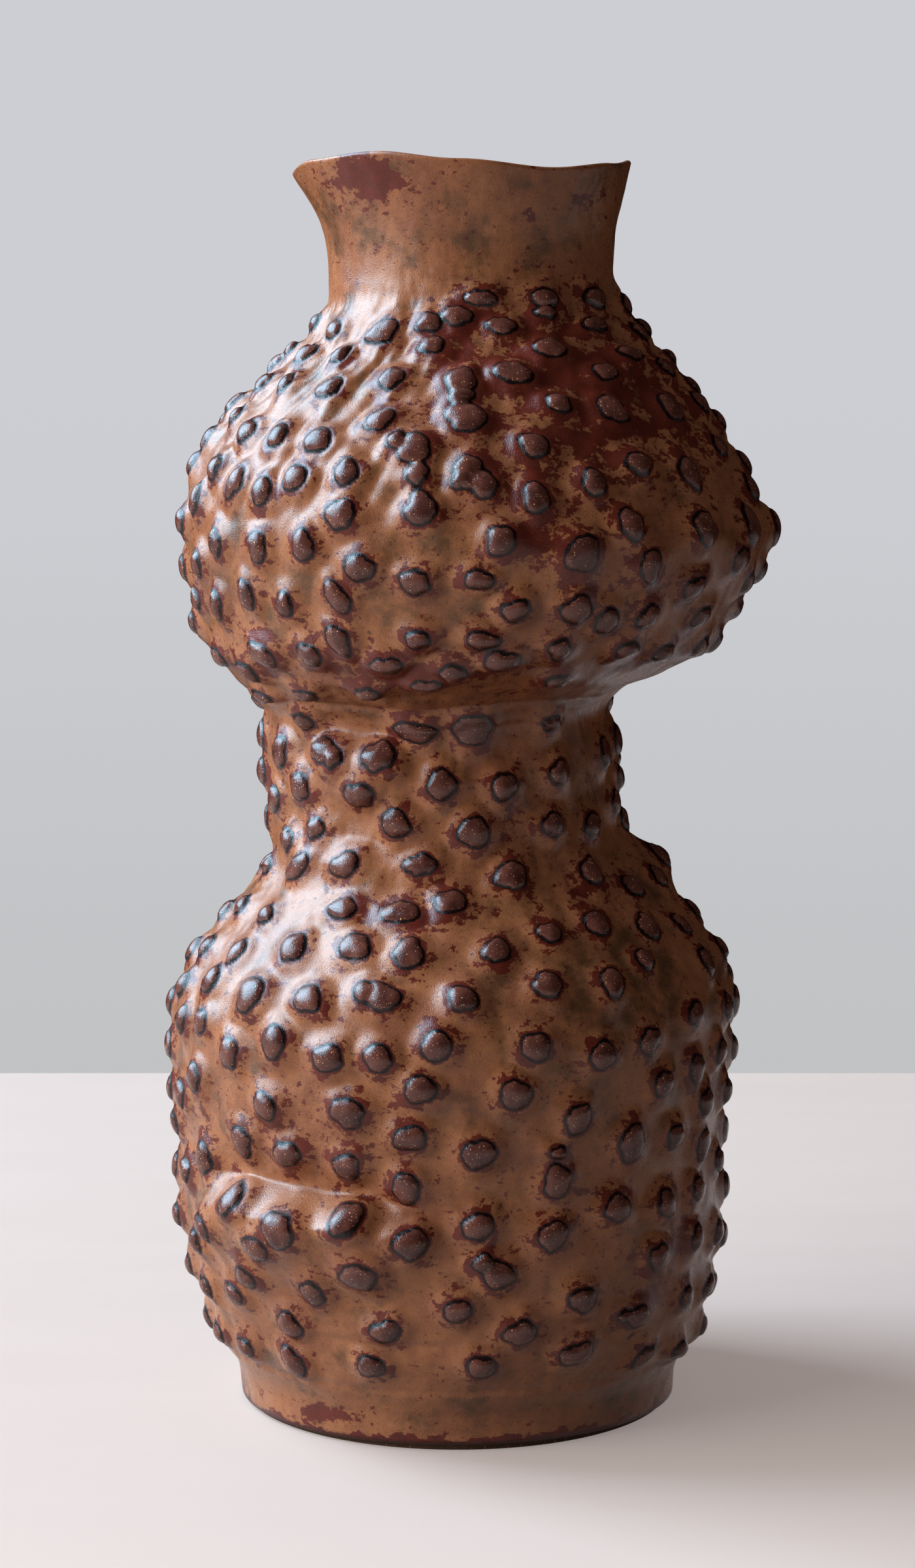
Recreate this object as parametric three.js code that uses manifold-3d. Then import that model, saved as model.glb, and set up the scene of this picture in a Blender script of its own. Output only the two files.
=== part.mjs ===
// Knobbed stoneware vase: thrown sections luted one on the other, with buds of clay pressed on.
// Millimetres, +Z up. The origin is the centre of the foot, on the table. Azimuths are in degrees
// round the upright axis: 0 faces -Y, 90 faces +X and -90 faces -X.
import * as THREE from 'three';
import { ConvexHull } from 'three/addons/math/ConvexHull.js';
import { mergeVertices } from 'three/addons/utils/BufferGeometryUtils.js';
import Module from 'manifold-3d';

const wasm = await Module();
wasm.setup();

// Heights of the sections, from the table up
const footHeight = 20;
const bowlHeight = 64;
const shoulderHeight = 103;
const waistHeight = 43;
const bulbHeight = 52;
const crownHeight = 79;
const neckHeight = 39;

// Outer radii of the clay, without the knobs
const footRadius = 71;
const bellyRadius = 90;
const waistRadius = 55;
const bulbRadius = 91.5;
const neckRadius = 45;
const lipRadius = 54;

// How far each part of the pot leans to the right (+X) of the foot's axis
const bellyLean = -2.6;
const waistLean = -5.6;
const bulbLean = 5.6;
const neckLean = 4;
const lipLean = 1;

// Hand-made unevenness of the wall, and the deepest drop of the wavy lip
const lobeRise = 10;
const ledgeRise = 1.8;
const cornerRise = 1.6;
const dentDepth = 3;
const beltSwell = 0.5;
const facetSwell = 0.35;
const lipWave = 4.8;

// Walls, floor and foot
const bellyWall = 6.5;
const neckWall = 5;
const lipWall = 3;
const slabThickness = 8;
const coilRadius = 6;
const footBevel = 2.5;
const footBevelInset = 1.6;
const fitGap = 0.3;

// Knobs: the flattened bud that stands on the wall
const knobWidth = 9;
const knobHeight = 3.2;
const knobSkirt = 1.4;
const knobCapInset = 1.2;
const knobClearance = 5.5;
const endMargin = 1.5;
const knobUnevenness = 0.06;
const knobFootPoints = 5;

// Pattern of the knobs on the side away from the photograph
const backPitch = 24;
const backRowPitch = 18;
const backFrom = 99;
const backTo = 261;
const backJitter = 0.15;
const backSmallest = 0.9;
const backLargest = 1.2;

// Fineness of the surface
const wallSegments = 32;
const outerStep = 16;
const innerStep = 24;
const plainStep = 10;
const roundingStep = 30;
const curveSamples = 600;

const radians = THREE.MathUtils.degToRad;
const degrees = THREE.MathUtils.radToDeg;
const smooth = THREE.MathUtils.smoothstep;
const mix = THREE.MathUtils.lerp;

// Seams between the sections, as heights above the table
const seamFoot = footHeight;
const seamLedge = seamFoot + bowlHeight;
const seamWaist = seamLedge + shoulderHeight;
const seamCrease = seamWaist + waistHeight;
const seamWidest = seamCrease + bulbHeight;
const seamNeck = seamWidest + crownHeight;
const topHeight = seamNeck + neckHeight;

// Outline of the pot: radius and lean at each height, the height as a share of its section
function station(from, to, share, radius, lean) {
  return new THREE.Vector3(radius, lean, mix(from, to, share));
}
const belly = (share) => mix(footRadius, bellyRadius, share);
const shoulder = (share) => mix(waistRadius, bellyRadius, share);
const bulb = (share) => mix(waistRadius, bulbRadius, share);
const crown = (share) => mix(neckRadius, bulbRadius, share);
const lip = (share) => mix(neckRadius, lipRadius, share);
const outline = new THREE.CatmullRomCurve3([
  station(0, seamFoot, 0, belly(-0.02), 0),
  station(0, seamFoot, 0.6, belly(0.06), 0),
  station(seamFoot, seamLedge, 0, belly(0.3), 0),
  station(seamFoot, seamLedge, 0.3, belly(0.62), 0.4 * bellyLean),
  station(seamFoot, seamLedge, 0.65, belly(0.87), 0.8 * bellyLean),
  station(seamFoot, seamLedge, 1, belly(0.86), bellyLean),
  station(seamLedge, seamWaist, 0.35, shoulder(1), 0.8 * bellyLean),
  station(seamLedge, seamWaist, 0.52, shoulder(0.95), 0.4 * bellyLean),
  station(seamLedge, seamWaist, 0.64, shoulder(0.76), 0),
  station(seamLedge, seamWaist, 0.78, shoulder(0.42), 0),
  station(seamLedge, seamWaist, 0.89, shoulder(0.14), 0.1 * waistLean),
  station(seamLedge, seamWaist, 1, shoulder(0.03), 0.65 * waistLean),
  station(seamWaist, seamCrease, 0.55, waistRadius, 0.95 * waistLean),
  station(seamWaist, seamCrease, 0.88, bulb(0), 1.05 * waistLean),
  station(seamWaist, seamCrease, 1, bulb(0.12), 1.1 * waistLean),
  station(seamCrease, seamWidest, 0.08, bulb(0.26), 0.9 * waistLean),
  station(seamCrease, seamWidest, 0.17, bulb(0.48), -0.2 * bulbLean),
  station(seamCrease, seamWidest, 0.35, bulb(0.72), 0.25 * bulbLean),
  station(seamCrease, seamWidest, 0.65, bulb(0.9), 0.9 * bulbLean),
  station(seamCrease, seamWidest, 1, bulb(1), 1.1 * bulbLean),
  station(seamWidest, seamNeck, 0.14, crown(0.95), 0.8 * bulbLean),
  station(seamWidest, seamNeck, 0.38, crown(0.76), 0.7 * bulbLean),
  station(seamWidest, seamNeck, 0.62, crown(0.42), bulbLean),
  station(seamWidest, seamNeck, 0.78, crown(0.15), 1.15 * bulbLean),
  station(seamWidest, seamNeck, 0.9, crown(0.02), 1.2 * neckLean),
  station(seamNeck, topHeight, 0, neckRadius, neckLean),
  station(seamNeck, topHeight, 0.35, lip(0.07), 0.9 * neckLean),
  station(seamNeck, topHeight, 0.65, lip(0.38), 0.75 * neckLean),
  station(seamNeck, topHeight, 1, lipRadius, lipLean),
], false, 'centripetal').getPoints(curveSamples);

// The outline's radius (x) and lean (y) at a height (z)
function outlineAt(height) {
  const above = outline.findIndex((point) => point.z >= height);
  if (above === 0) return outline[0];
  if (above < 0) return outline[outline.length - 1];
  const below = outline[above - 1];
  const share = (height - below.z) / (outline[above].z - below.z);
  return below.clone().lerp(outline[above], share);
}

// Hand-made unevenness: soft swells and dents, each fading out round its centre
const swells = [
  // the rear right of the shoulder stands up as a lobe
  { azimuth: 116, height: mix(seamLedge, seamWaist, 0.87), spread: 26, rise: 9, amount: lobeRise },
  // the ledge on the left front of the lower belly
  { azimuth: -36, height: seamLedge - 6, spread: 30, rise: 9, amount: ledgeRise },
  // the corner where the upper belly is widest, on the right
  { azimuth: 88, height: seamWidest, spread: 40, rise: 12, amount: cornerRise },
  // the dent under the upper belly, on the right
  { azimuth: 75, height: seamCrease + 4, spread: 40, rise: 9, amount: -dentDepth },
];
function turnBetween(a, b) {
  return ((a - b + 540) % 360) - 180;
}
function unevenness(azimuth, height) {
  const belt = beltSwell * Math.sin(radians(2 * azimuth + 0.9 * height));
  const facets = facetSwell * Math.sin(radians(3 * azimuth - 1.6 * height + 40));
  return swells.reduce((sum, swell) => {
    const across = turnBetween(azimuth, swell.azimuth) / swell.spread;
    const up = (height - swell.height) / swell.rise;
    return sum + swell.amount * Math.exp(-(across ** 2 + up ** 2));
  }, smooth(height, seamFoot, 2 * seamFoot) * (belt + facets));
}

// Distance from the upright axis to the outside of the wall
function wallRadius(azimuth, height) {
  const { x: radius, y: lean } = outlineAt(height);
  const sine = Math.sin(radians(azimuth));
  const cosine = Math.cos(radians(azimuth));
  const reach = lean * sine + Math.sqrt(radius ** 2 - (lean * cosine) ** 2);
  return reach + unevenness(azimuth, height);
}
function wallPoint(azimuth, height) {
  const reach = wallRadius(azimuth, height);
  const turn = radians(azimuth);
  return new THREE.Vector3(reach * Math.sin(turn), -reach * Math.cos(turn), height);
}

// The lip's wave: azimuths round the rim, and the edge's drop there as a share of the deepest
const lipDrops = [
  [-90, 0.94], [-60, 0.33], [-28, 0], [0, 0.5], [32, 1], [62, 0.58], [90, 0.2], [130, 0.54],
  [180, 0.17], [225, 0.62], [270, 0.94],
];
function lipDrop(azimuth) {
  const turn = ((azimuth + 90 + 360) % 360) - 90;
  const next = lipDrops.findIndex(([at]) => at > turn);
  const [from, low] = lipDrops[next - 1];
  const [to, high] = lipDrops[next];
  return lipWave * mix(low, high, smooth(turn, from, to));
}

// Inside of the wall: the outline moved in square to itself by the wall's thickness
function thicknessAt(height) {
  const thinning = smooth(height, seamWidest, seamNeck);
  const lipShare = smooth(height, seamNeck, topHeight);
  return mix(mix(bellyWall, neckWall, thinning), lipWall, lipShare);
}
const insideLine = outline.slice(1, -1).map((point, index) => {
  const run = outline[index + 2].clone().sub(outline[index]);
  const square = new THREE.Vector2(run.z, -run.x).normalize();
  const thickness = thicknessAt(point.z);
  return new THREE.Vector2(point.x - square.x * thickness, point.z - square.y * thickness);
});
function insideRadius(height) {
  const near = insideLine.filter((point) => Math.abs(point.y - height) < 1);
  return Math.min(...near.map((point) => point.x));
}

// Solids: a geometry's vertices are joined, and booleans run on the joined mesh
function solidOf(geometry) {
  const bare = geometry.clone();
  ['normal', 'uv'].forEach((name) => bare.deleteAttribute(name));
  const joined = mergeVertices(bare, 1e-4);
  const vertProperties = new Float32Array(joined.attributes.position.array);
  const corners = Array.from(joined.index.array);
  const whole = [];
  for (let k = 0; k < corners.length; k += 3) {
    const [a, b, c] = corners.slice(k, k + 3);
    if (a !== b && b !== c && c !== a) whole.push(a, b, c);
  }
  const triVerts = new Uint32Array(whole);
  return new wasm.Manifold(new wasm.Mesh({ numProp: 3, vertProperties, triVerts }));
}
function geometryOf(solid) {
  const mesh = solid.getMesh();
  const geometry = new THREE.BufferGeometry();
  geometry.setAttribute('position', new THREE.BufferAttribute(mesh.vertProperties, 3));
  geometry.setIndex(new THREE.BufferAttribute(mesh.triVerts, 1));
  geometry.computeVertexNormals();
  return geometry;
}

// A closed section turned round the upright axis, from [radius, height] pairs
function turned(pairs, segments) {
  const points = pairs.map(([radius, height]) => new THREE.Vector2(radius, height));
  points.push(points[0].clone());
  return new THREE.LatheGeometry(points, segments).rotateX(Math.PI / 2);
}

// Lean, wave and unevenness for a turned section: each point moves out by what the wall moves
function handShaped(geometry) {
  const place = geometry.attributes.position;
  for (let k = 0; k < place.count; k += 1) {
    const height = place.getZ(k);
    const radius = Math.hypot(place.getX(k), place.getY(k));
    const azimuth = degrees(Math.atan2(place.getX(k), -place.getY(k)));
    const reach = radius + wallRadius(azimuth, height) - outlineAt(height).x;
    const turn = radians(azimuth);
    const lowered = height - smooth(height, seamNeck, topHeight) * lipDrop(azimuth);
    place.setXYZ(k, reach * Math.sin(turn), -reach * Math.cos(turn), lowered);
  }
  return geometry;
}

// Heights from one seam to the next, both ends included
function rows(from, to, step) {
  const count = Math.max(1, Math.round((to - from) / step));
  return Array.from({ length: count + 1 }, (_, k) => mix(from, to, k / count));
}

// Knobs of the photographed side: azimuth, height, and width and tallness where they differ
// from the usual. Heights are those of the drawn vase, whose seams stand at drawnSeams.
const drawnSeams = [0, 20, 84, 187, 230, 282, 361, 400];
const frontKnobs = [
  [-86, 26], [-70, 27], [-56, 27], [-39, 27, 8, 11], [-19, 30], [5, 31, 10, 8], [26, 33, 12, 8],
  [46, 27, 11, 7], [62, 25], [84, 24],
  [-82, 45], [-68, 43], [-54, 46], [-38, 40, 11, 8], [-15, 42, 10, 8], [13, 42, 11, 9],
  [40, 42, 10, 8], [58, 43], [73, 41], [87, 37, 10, 10],
  [-47, 54], [-30, 53], [0, 50], [26, 51, 10, 9],
  [-81, 62], [-66, 59], [-19, 61, 11, 10], [8, 62, 10, 10], [45, 60], [59, 62], [73, 59], [87, 53],
  [-57, 67], [-40, 66, 10, 8], [-34, 75, 11, 12], [-9, 71], [19, 72, 10, 10], [87, 69],
  [-87, 76], [-71, 80], [-47, 77], [-21, 77, 10, 8], [4, 76], [34, 78, 11, 9], [48, 76], [60, 77],
  [74, 82],
  [-79, 93], [-61, 87, 9, 11], [-10, 88, 9, 11], [20, 90, 10, 11], [87, 88, 12, 11], [62, 91, 9, 12],
  [-47, 97], [-35, 96, 10, 8], [-22, 94], [4, 99, 11, 10], [37, 98, 10, 14], [50, 97],
  [-84, 103], [-71, 105], [-9, 104, 11, 8], [24, 108, 10, 10], [61, 105], [76, 104],
  [-62, 113], [-39, 110], [-21, 111, 11, 10], [-84, 117], [-7, 119], [11, 117, 10, 10], [45, 115],
  [56, 117], [68, 119], [84, 116],
  [-70, 129], [-60, 131], [-49, 124], [-37, 130, 9, 11], [-25, 127], [-15, 128], [-4, 132],
  [15, 131], [29, 127], [41, 129], [56, 134], [73, 132], [88, 130, 10, 11], [-87, 130],
  [-75, 138], [-61, 143, 8, 10], [-46, 142, 11, 12], [-31, 143], [-15, 145, 11, 9], [1, 145],
  [19, 148, 10, 9], [34, 147], [69, 147, 9, 10], [-87, 146], [86, 147],
  [-75, 150], [-58, 152], [-40, 156, 10, 10], [-24, 158, 11, 10], [-11, 157, 10, 11], [9, 158],
  [46, 152], [54, 160, 10, 10], [69, 158], [-86, 159], [87, 159],
  [-73, 163], [-56, 163], [23, 162], [37, 163], [-31, 168], [-15, 168, 12, 9], [-2, 171, 11, 9],
  [60, 171], [80, 171],
  [-77, 175], [-53, 178, 12, 8], [-34, 181], [-11, 182, 11, 7], [16, 178, 11, 10], [45, 177],
  [-63, 187], [-48, 192], [-19, 195], [5, 193, 10, 10], [33, 194], [53, 192], [-72, 199], [74, 196],
  [88, 190, 10, 9],
  [-54, 204], [-30, 204], [-5, 207], [15, 206], [36, 209], [-87, 205], [66, 213], [86, 203],
  [-65, 214], [-42, 215, 11, 9], [-24, 215], [-87, 217, 12, 11], [87, 216, 11, 12],
  [-51, 226], [-13, 224, 11, 9], [5, 222], [8, 229], [33, 226],
  [-62, 236], [-41, 237], [-22, 239], [-7, 241, 9, 6], [23, 242], [-70, 247], [-57, 243],
  [-1, 246], [-46, 249, 12, 8], [-33, 250], [-15, 248, 10, 7], [9, 249, 11, 7], [21, 252],
  [37, 251, 10, 7], [49, 249], [65, 249], [86, 248],
  [-25, 255, 9, 10], [-8, 256, 9, 7], [5, 256, 10, 7], [31, 260], [39, 262], [56, 260], [-82, 255],
  [88, 259],
  [-73, 263], [-60, 263], [-48, 266], [-37, 264], [-24, 267, 8, 12], [11, 265], [23, 264, 11, 9],
  [49, 269], [73, 268],
  [-86, 271], [-67, 275], [-8, 272, 10, 8], [4, 273, 9, 7], [88, 271], [-19, 276, 10, 9], [37, 276],
  [62, 277],
  [-57, 281], [-43, 281], [-31, 282], [8, 284], [23, 280, 12, 12], [50, 286], [66, 286, 8, 11],
  [88, 284, 12, 12], [33, 288], [-80, 287], [-68, 293], [-23, 291, 10, 10], [-7, 293, 10, 11],
  [15, 296, 8, 11], [76, 297],
  [-63, 303], [-52, 300, 8, 11], [-43, 297], [-35, 301], [-23, 303], [5, 303, 10, 11], [27, 300],
  [38, 305], [51, 302, 10, 11], [-86, 303], [86, 303, 10, 10],
  [-57, 314], [-68, 318], [-44, 313], [-32, 312], [-10, 309, 11, 11], [16, 311], [-85, 312],
  [68, 309], [88, 316],
  [-18, 318, 10, 8], [2, 320, 13, 11], [24, 323], [37, 321, 10, 11], [56, 321, 11, 11], [-85, 322],
  [75, 322],
  [-71, 328], [-55, 328], [-36, 327], [-18, 330], [2, 331, 10, 9], [15, 332, 12, 9], [41, 332],
  [86, 328], [69, 333],
  [-60, 337], [-82, 337], [-40, 337], [-8, 340], [28, 339, 10, 9], [55, 337, 11, 7], [88, 337],
  [-80, 347], [-53, 345], [-27, 344, 10, 12], [0, 349], [-10, 347], [15, 346], [49, 346], [72, 345],
  [88, 345], [9, 355, 10, 7], [33, 355], [56, 355, 10, 8], [85, 354],
];

// Seams of this vase, in the order of drawnSeams, and a drawn height moved onto it
const seams = [0, seamFoot, seamLedge, seamWaist, seamCrease, seamWidest, seamNeck, topHeight];
function fromDrawn(height) {
  const next = Math.max(1, drawnSeams.findIndex((seam) => seam >= height));
  const share = (height - drawnSeams[next - 1]) / (drawnSeams[next] - drawnSeams[next - 1]);
  return mix(seams[next - 1], seams[next], share);
}

// A repeatable number from 0 to 1 for each seed
function chance(seed) {
  const wave = Math.sin(seed * 127.1) * 43758.5;
  return wave - Math.floor(wave);
}

// Knobs of the far side: staggered rows with some hand-set unevenness
function backKnobs() {
  return rows(seamFoot + knobWidth, seamNeck - knobWidth, backRowPitch).flatMap((level, row) => {
    const pitch = degrees(backPitch / outlineAt(level).x);
    const first = backFrom + (row % 2) * pitch / 2;
    return Array.from({ length: Math.floor((backTo - first) / pitch) + 1 }, (_, k) => {
      const [sideways, upward, size] = [1, 2, 3].map((part) => chance(row + k / 40 + part));
      const azimuth = first + (k + backJitter * mix(-1, 1, sideways)) * pitch;
      const height = level + backJitter * mix(-1, 1, upward) * backRowPitch;
      const width = knobWidth * mix(backSmallest, backLargest, size);
      return { azimuth, height, width, tall: width };
    });
  });
}
const knobs = [
  ...frontKnobs.map(([azimuth, height, width = knobWidth, tall = knobWidth]) => (
    { azimuth, height: fromDrawn(height), width, tall })),
  ...backKnobs(),
].map((knob) => {
  const flare = outlineAt(knob.height + 1).x - outlineAt(knob.height - 1).x;
  return { ...knob, reach: outlineAt(knob.height).x, slope: Math.hypot(1, flare / 2) };
});

// Where a point of the wall lies from a knob's middle, in millimetres along the clay
function fromMiddle({ azimuth, height }, knob) {
  const across = radians(turnBetween(azimuth, knob.azimuth)) * knob.reach;
  return new THREE.Vector2(across, (height - knob.height) * knob.slope);
}
function beside(knob, offset, lift) {
  const azimuth = knob.azimuth + degrees(offset.x / knob.reach);
  return { azimuth, height: knob.height + offset.y / knob.slope, lift };
}
function insideKnob(point, knob, margin) {
  const { x, y } = fromMiddle(point, knob);
  return Math.hypot(x / (knob.width / 2 + margin), y / (knob.tall / 2 + margin)) < 1;
}

// Points of the buds: the middle of each, and a slightly uneven ring round its foot
function knobPoints() {
  const onWall = knobs.filter(({ height }) => (
    height > seamFoot + endMargin && height < seamNeck - endMargin));
  return onWall.flatMap((knob) => {
    const foot = Array.from({ length: knobFootPoints }, (_, k) => {
      const uneven = 1 + knobUnevenness * mix(-1, 1, chance(knob.azimuth + knob.height + k));
      const turn = radians(k * 360 / knobFootPoints);
      const across = (knob.width / 2 + knobSkirt) * uneven * Math.sin(turn);
      const along = (knob.tall / 2 + knobSkirt) * uneven * Math.cos(turn);
      return beside(knob, new THREE.Vector2(across, along), 0);
    });
    const free = foot.filter((point) => point.height > seamFoot + endMargin
      && point.height < seamNeck - endMargin
      && !knobs.some((other) => other !== knob && insideKnob(point, other, 0)));
    return [{ ...knob, lift: knobHeight, middle: true }, ...free];
  });
}

// The faces round a bud's middle give way to its flanks and its flat cap. Buds that run into each
// other keep their middles as peaks, with a ridge between.
function withCaps(faces, points) {
  const grown = [];
  const fans = new Map();
  faces.forEach((face) => {
    const middles = face.filter((index) => points[index].middle);
    middles.forEach((index) => fans.set(index, [...(fans.get(index) ?? []), face]));
    if (middles.length === 0) grown.push(face);
  });
  const peaks = (fan) => fan.some((face) => face.filter((index) => fans.has(index)).length > 1);
  const kept = new Set();
  fans.forEach((fan, middle) => {
    if (peaks(fan)) {
      fan.forEach((face) => kept.add(face));
      return;
    }
    const knob = points[middle];
    const capOf = new Map();
    const cap = (index) => {
      if (!capOf.has(index)) {
        const way = fromMiddle(points[index], knob);
        const wide = way.x / (knob.width / 2 - knobCapInset);
        const tall = way.y / (knob.tall / 2 - knobCapInset);
        points.push(beside(knob, way.divideScalar(Math.hypot(wide, tall)), knobHeight));
        capOf.set(index, points.length - 1);
      }
      return capOf.get(index);
    };
    const first = cap(fan[0].find((index) => index !== middle));
    fan.forEach((face) => {
      const turn = face.indexOf(middle);
      const here = face[(turn + 1) % 3];
      const next = face[(turn + 2) % 3];
      grown.push([here, next, cap(next)], [here, cap(next), cap(here)]);
      if (cap(here) !== first && cap(next) !== first) grown.push([first, cap(here), cap(next)]);
    });
  });
  return [...grown, ...kept];
}

// Points of the bare wall between the knobs, and the two level rows where the wall starts and ends
function barePoints() {
  return rows(seamFoot + outerStep / 2, seamNeck - outerStep / 2, outerStep).flatMap((height, row) => (
    Array.from({ length: wallSegments }, (_, k) => (
      { azimuth: (k + (row % 2) / 2) * 360 / wallSegments, height, lift: 0 }))
  )).filter((point) => !knobs.some((knob) => insideKnob(point, knob, knobClearance)));
}
function levelRow(height) {
  return Array.from({ length: wallSegments }, (_, k) => (
    { azimuth: k * 360 / wallSegments, height, lift: 0 }));
}

// A point of the skin: out from the wall by its lift, square to the wall
function skinPoint({ azimuth, height, lift }) {
  const centre = wallPoint(azimuth, height);
  if (lift === 0) return centre;
  const across = wallPoint(azimuth + 1, height).sub(wallPoint(azimuth - 1, height));
  const up = wallPoint(azimuth, height + 1).sub(wallPoint(azimuth, height - 1));
  return centre.addScaledVector(across.cross(up).normalize(), lift);
}

// The knobbed skin: the wall is spread over a ball, angles kept, and the hull of the points there
// says which of them are neighbours on the wall
function skinTriangles(points, bottom, top) {
  const way = rows(bottom, top, 1);
  let drawn = 0;
  const spread = way.map((height, k) => {
    if (k > 0) {
      const before = outlineAt(way[k - 1]);
      const here = outlineAt(height);
      const step = Math.hypot(here.x - before.x, here.z - before.z);
      drawn += 2 * step / (here.x + before.x);
    }
    return drawn;
  });
  const latitudeAt = (height) => {
    const k = Math.min(way.length - 2, Math.floor((height - bottom) / (way[1] - way[0])));
    const share = (height - way[k]) / (way[1] - way[0]);
    return 2 * Math.atan(Math.exp(mix(spread[k], spread[k + 1], share) - drawn / 2)) - Math.PI / 2;
  };
  const order = new Map();
  const ball = points.map(({ azimuth, height }, index) => {
    const latitude = latitudeAt(height);
    const flat = Math.cos(latitude);
    const turn = radians(azimuth);
    const spot = new THREE.Vector3(flat * Math.sin(turn), -flat * Math.cos(turn), Math.sin(latitude));
    order.set(spot, index);
    return spot;
  });
  const faces = new ConvexHull().setFromPoints(ball).faces.map((face) => {
    const corners = [face.edge.prev, face.edge, face.edge.next];
    return corners.map((edge) => order.get(edge.head().point));
  });
  const level = (face, height) => face.every((index) => points[index].height === height);
  return faces.filter((face) => !level(face, bottom) && !level(face, top));
}

// The whole knobbed wall as one closed solid, from the foot band to the collar
function knobbedWall() {
  const bottomRow = levelRow(seamFoot);
  const topRow = levelRow(seamNeck);
  const skin = [...bottomRow, ...topRow, ...knobPoints(), ...barePoints()];
  const faces = withCaps(skinTriangles(skin, seamFoot, seamNeck), skin);
  const places = skin.map(skinPoint);
  const levels = rows(seamFoot, seamNeck, innerStep);
  const firstInside = places.length;
  levels.forEach((height) => {
    levelRow(height).forEach(({ azimuth }) => {
      const reach = wallRadius(azimuth, height) - outlineAt(height).x + insideRadius(height);
      const turn = radians(azimuth);
      places.push(new THREE.Vector3(reach * Math.sin(turn), -reach * Math.cos(turn), height));
    });
  });
  const inside = (level, k) => firstInside + level * wallSegments + (k % wallSegments);
  const quad = (a, b, c, d) => faces.push([a, b, c], [a, c, d]);
  for (let k = 0; k < wallSegments; k += 1) {
    const next = (k + 1) % wallSegments;
    for (let level = 0; level < levels.length - 1; level += 1) {
      quad(inside(level, k), inside(level + 1, k), inside(level + 1, k + 1), inside(level, k + 1));
    }
    quad(inside(0, k), inside(0, k + 1), next, k);
    quad(wallSegments + k, wallSegments + next, inside(levels.length - 1, k + 1),
      inside(levels.length - 1, k));
  }
  const geometry = new THREE.BufferGeometry().setFromPoints(places);
  geometry.setIndex(faces.flat());
  return solidOf(geometry);
}

// A section of the wall, parted from it at two seams. A bud that hangs over a seam ends at it.
const wholeWall = knobbedWall();
function knobbedSection(from, to) {
  const beyond = 2 * Math.max(bellyRadius, bulbRadius);
  const slab = turned([[0, from], [beyond, from], [beyond, to], [0, to]], wallSegments);
  const pieces = wholeWall.intersect(solidOf(slab)).decompose();
  return geometryOf(pieces.reduce((largest, piece) => (
    piece.volume() > largest.volume() ? piece : largest)));
}

// Foot: a plain band whose lower edge is bevelled where the glaze was wiped off
function footBand() {
  const inner = insideRadius(seamFoot);
  return handShaped(turned([
    [footRadius - footBevelInset, 0],
    [outlineAt(footBevel).x, footBevel],
    ...rows(footBevel, seamFoot, plainStep).slice(1).map((height) => [outlineAt(height).x, height]),
    [inner, seamFoot],
    [inner, 0],
  ], wallSegments));
}
const slabRadius = insideRadius(seamFoot) - fitGap;
function baseSlab() {
  return turned([[0, 0], [slabRadius, 0], [slabRadius, slabThickness], [0, slabThickness]],
    wallSegments);
}
function floorCoil() {
  const rounded = rows(90, 180, roundingStep).map((turn) => [
    slabRadius + coilRadius * Math.cos(radians(turn)),
    slabThickness + coilRadius * Math.sin(radians(turn)),
  ]);
  return turned([[slabRadius, slabThickness], ...rounded], wallSegments);
}

// Collar: wall up from the neck seam, ending in a thin rounded lip
function neckCollar() {
  const edge = lipWall / 2;
  const heights = rows(seamNeck, topHeight - edge, plainStep);
  const outside = heights.map((height) => [outlineAt(height).x, height]);
  const top = rows(60, 120, roundingStep).map((turn) => [
    lipRadius - edge + edge * Math.cos(radians(turn)),
    topHeight - edge + edge * Math.sin(radians(turn)),
  ]);
  const inside = heights.map((height) => [outlineAt(height).x - thicknessAt(height), height]);
  return handShaped(turned([...outside, ...top, ...inside.reverse()], wallSegments));
}

// Glazed and bare clay
const glaze = new THREE.MeshStandardMaterial({ color: '#9a6c4a', roughness: 0.35, metalness: 0 });
const bareClay = new THREE.MeshStandardMaterial({ color: '#8c6a4f', roughness: 0.9, metalness: 0 });

const vase = new THREE.Group();
function place(name, geometry, material) {
  const mesh = new THREE.Mesh(geometry, material.clone());
  mesh.name = name;
  vase.add(mesh);
}
place('base_slab', baseSlab(), bareClay);
place('floor_coil', floorCoil(), glaze);
place('foot_band', footBand(), glaze);
place('belly_bowl', knobbedSection(seamFoot, seamLedge), glaze);
place('belly_shoulder', knobbedSection(seamLedge, seamWaist), glaze);
place('waist_ring', knobbedSection(seamWaist, seamCrease), glaze);
place('bulb_bowl', knobbedSection(seamCrease, seamWidest), glaze);
place('bulb_shoulder', knobbedSection(seamWidest, seamNeck), glaze);
place('neck_collar', neckCollar(), glaze);

export default vase;
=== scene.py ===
# %% [markdown]
# # A knobbed stoneware vase
# The vase is hand-built: a plain foot band, a lower belly with a fold of clay on one side, a
# leaning waist, an upper belly and a plain collar with a wavy lip. Some four hundred and fifty
# flattened buds of clay are pressed on all over. A tan glaze runs over everything: it breaks to
# maroon round the buds, to a blue-black line at their edges and to mauve-brown on their caps.
# We model the clay as the potter did, section on section, and let each section stand for the
# solid of the same name in the frame.

# %% Load the frame and note its box
import math

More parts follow.
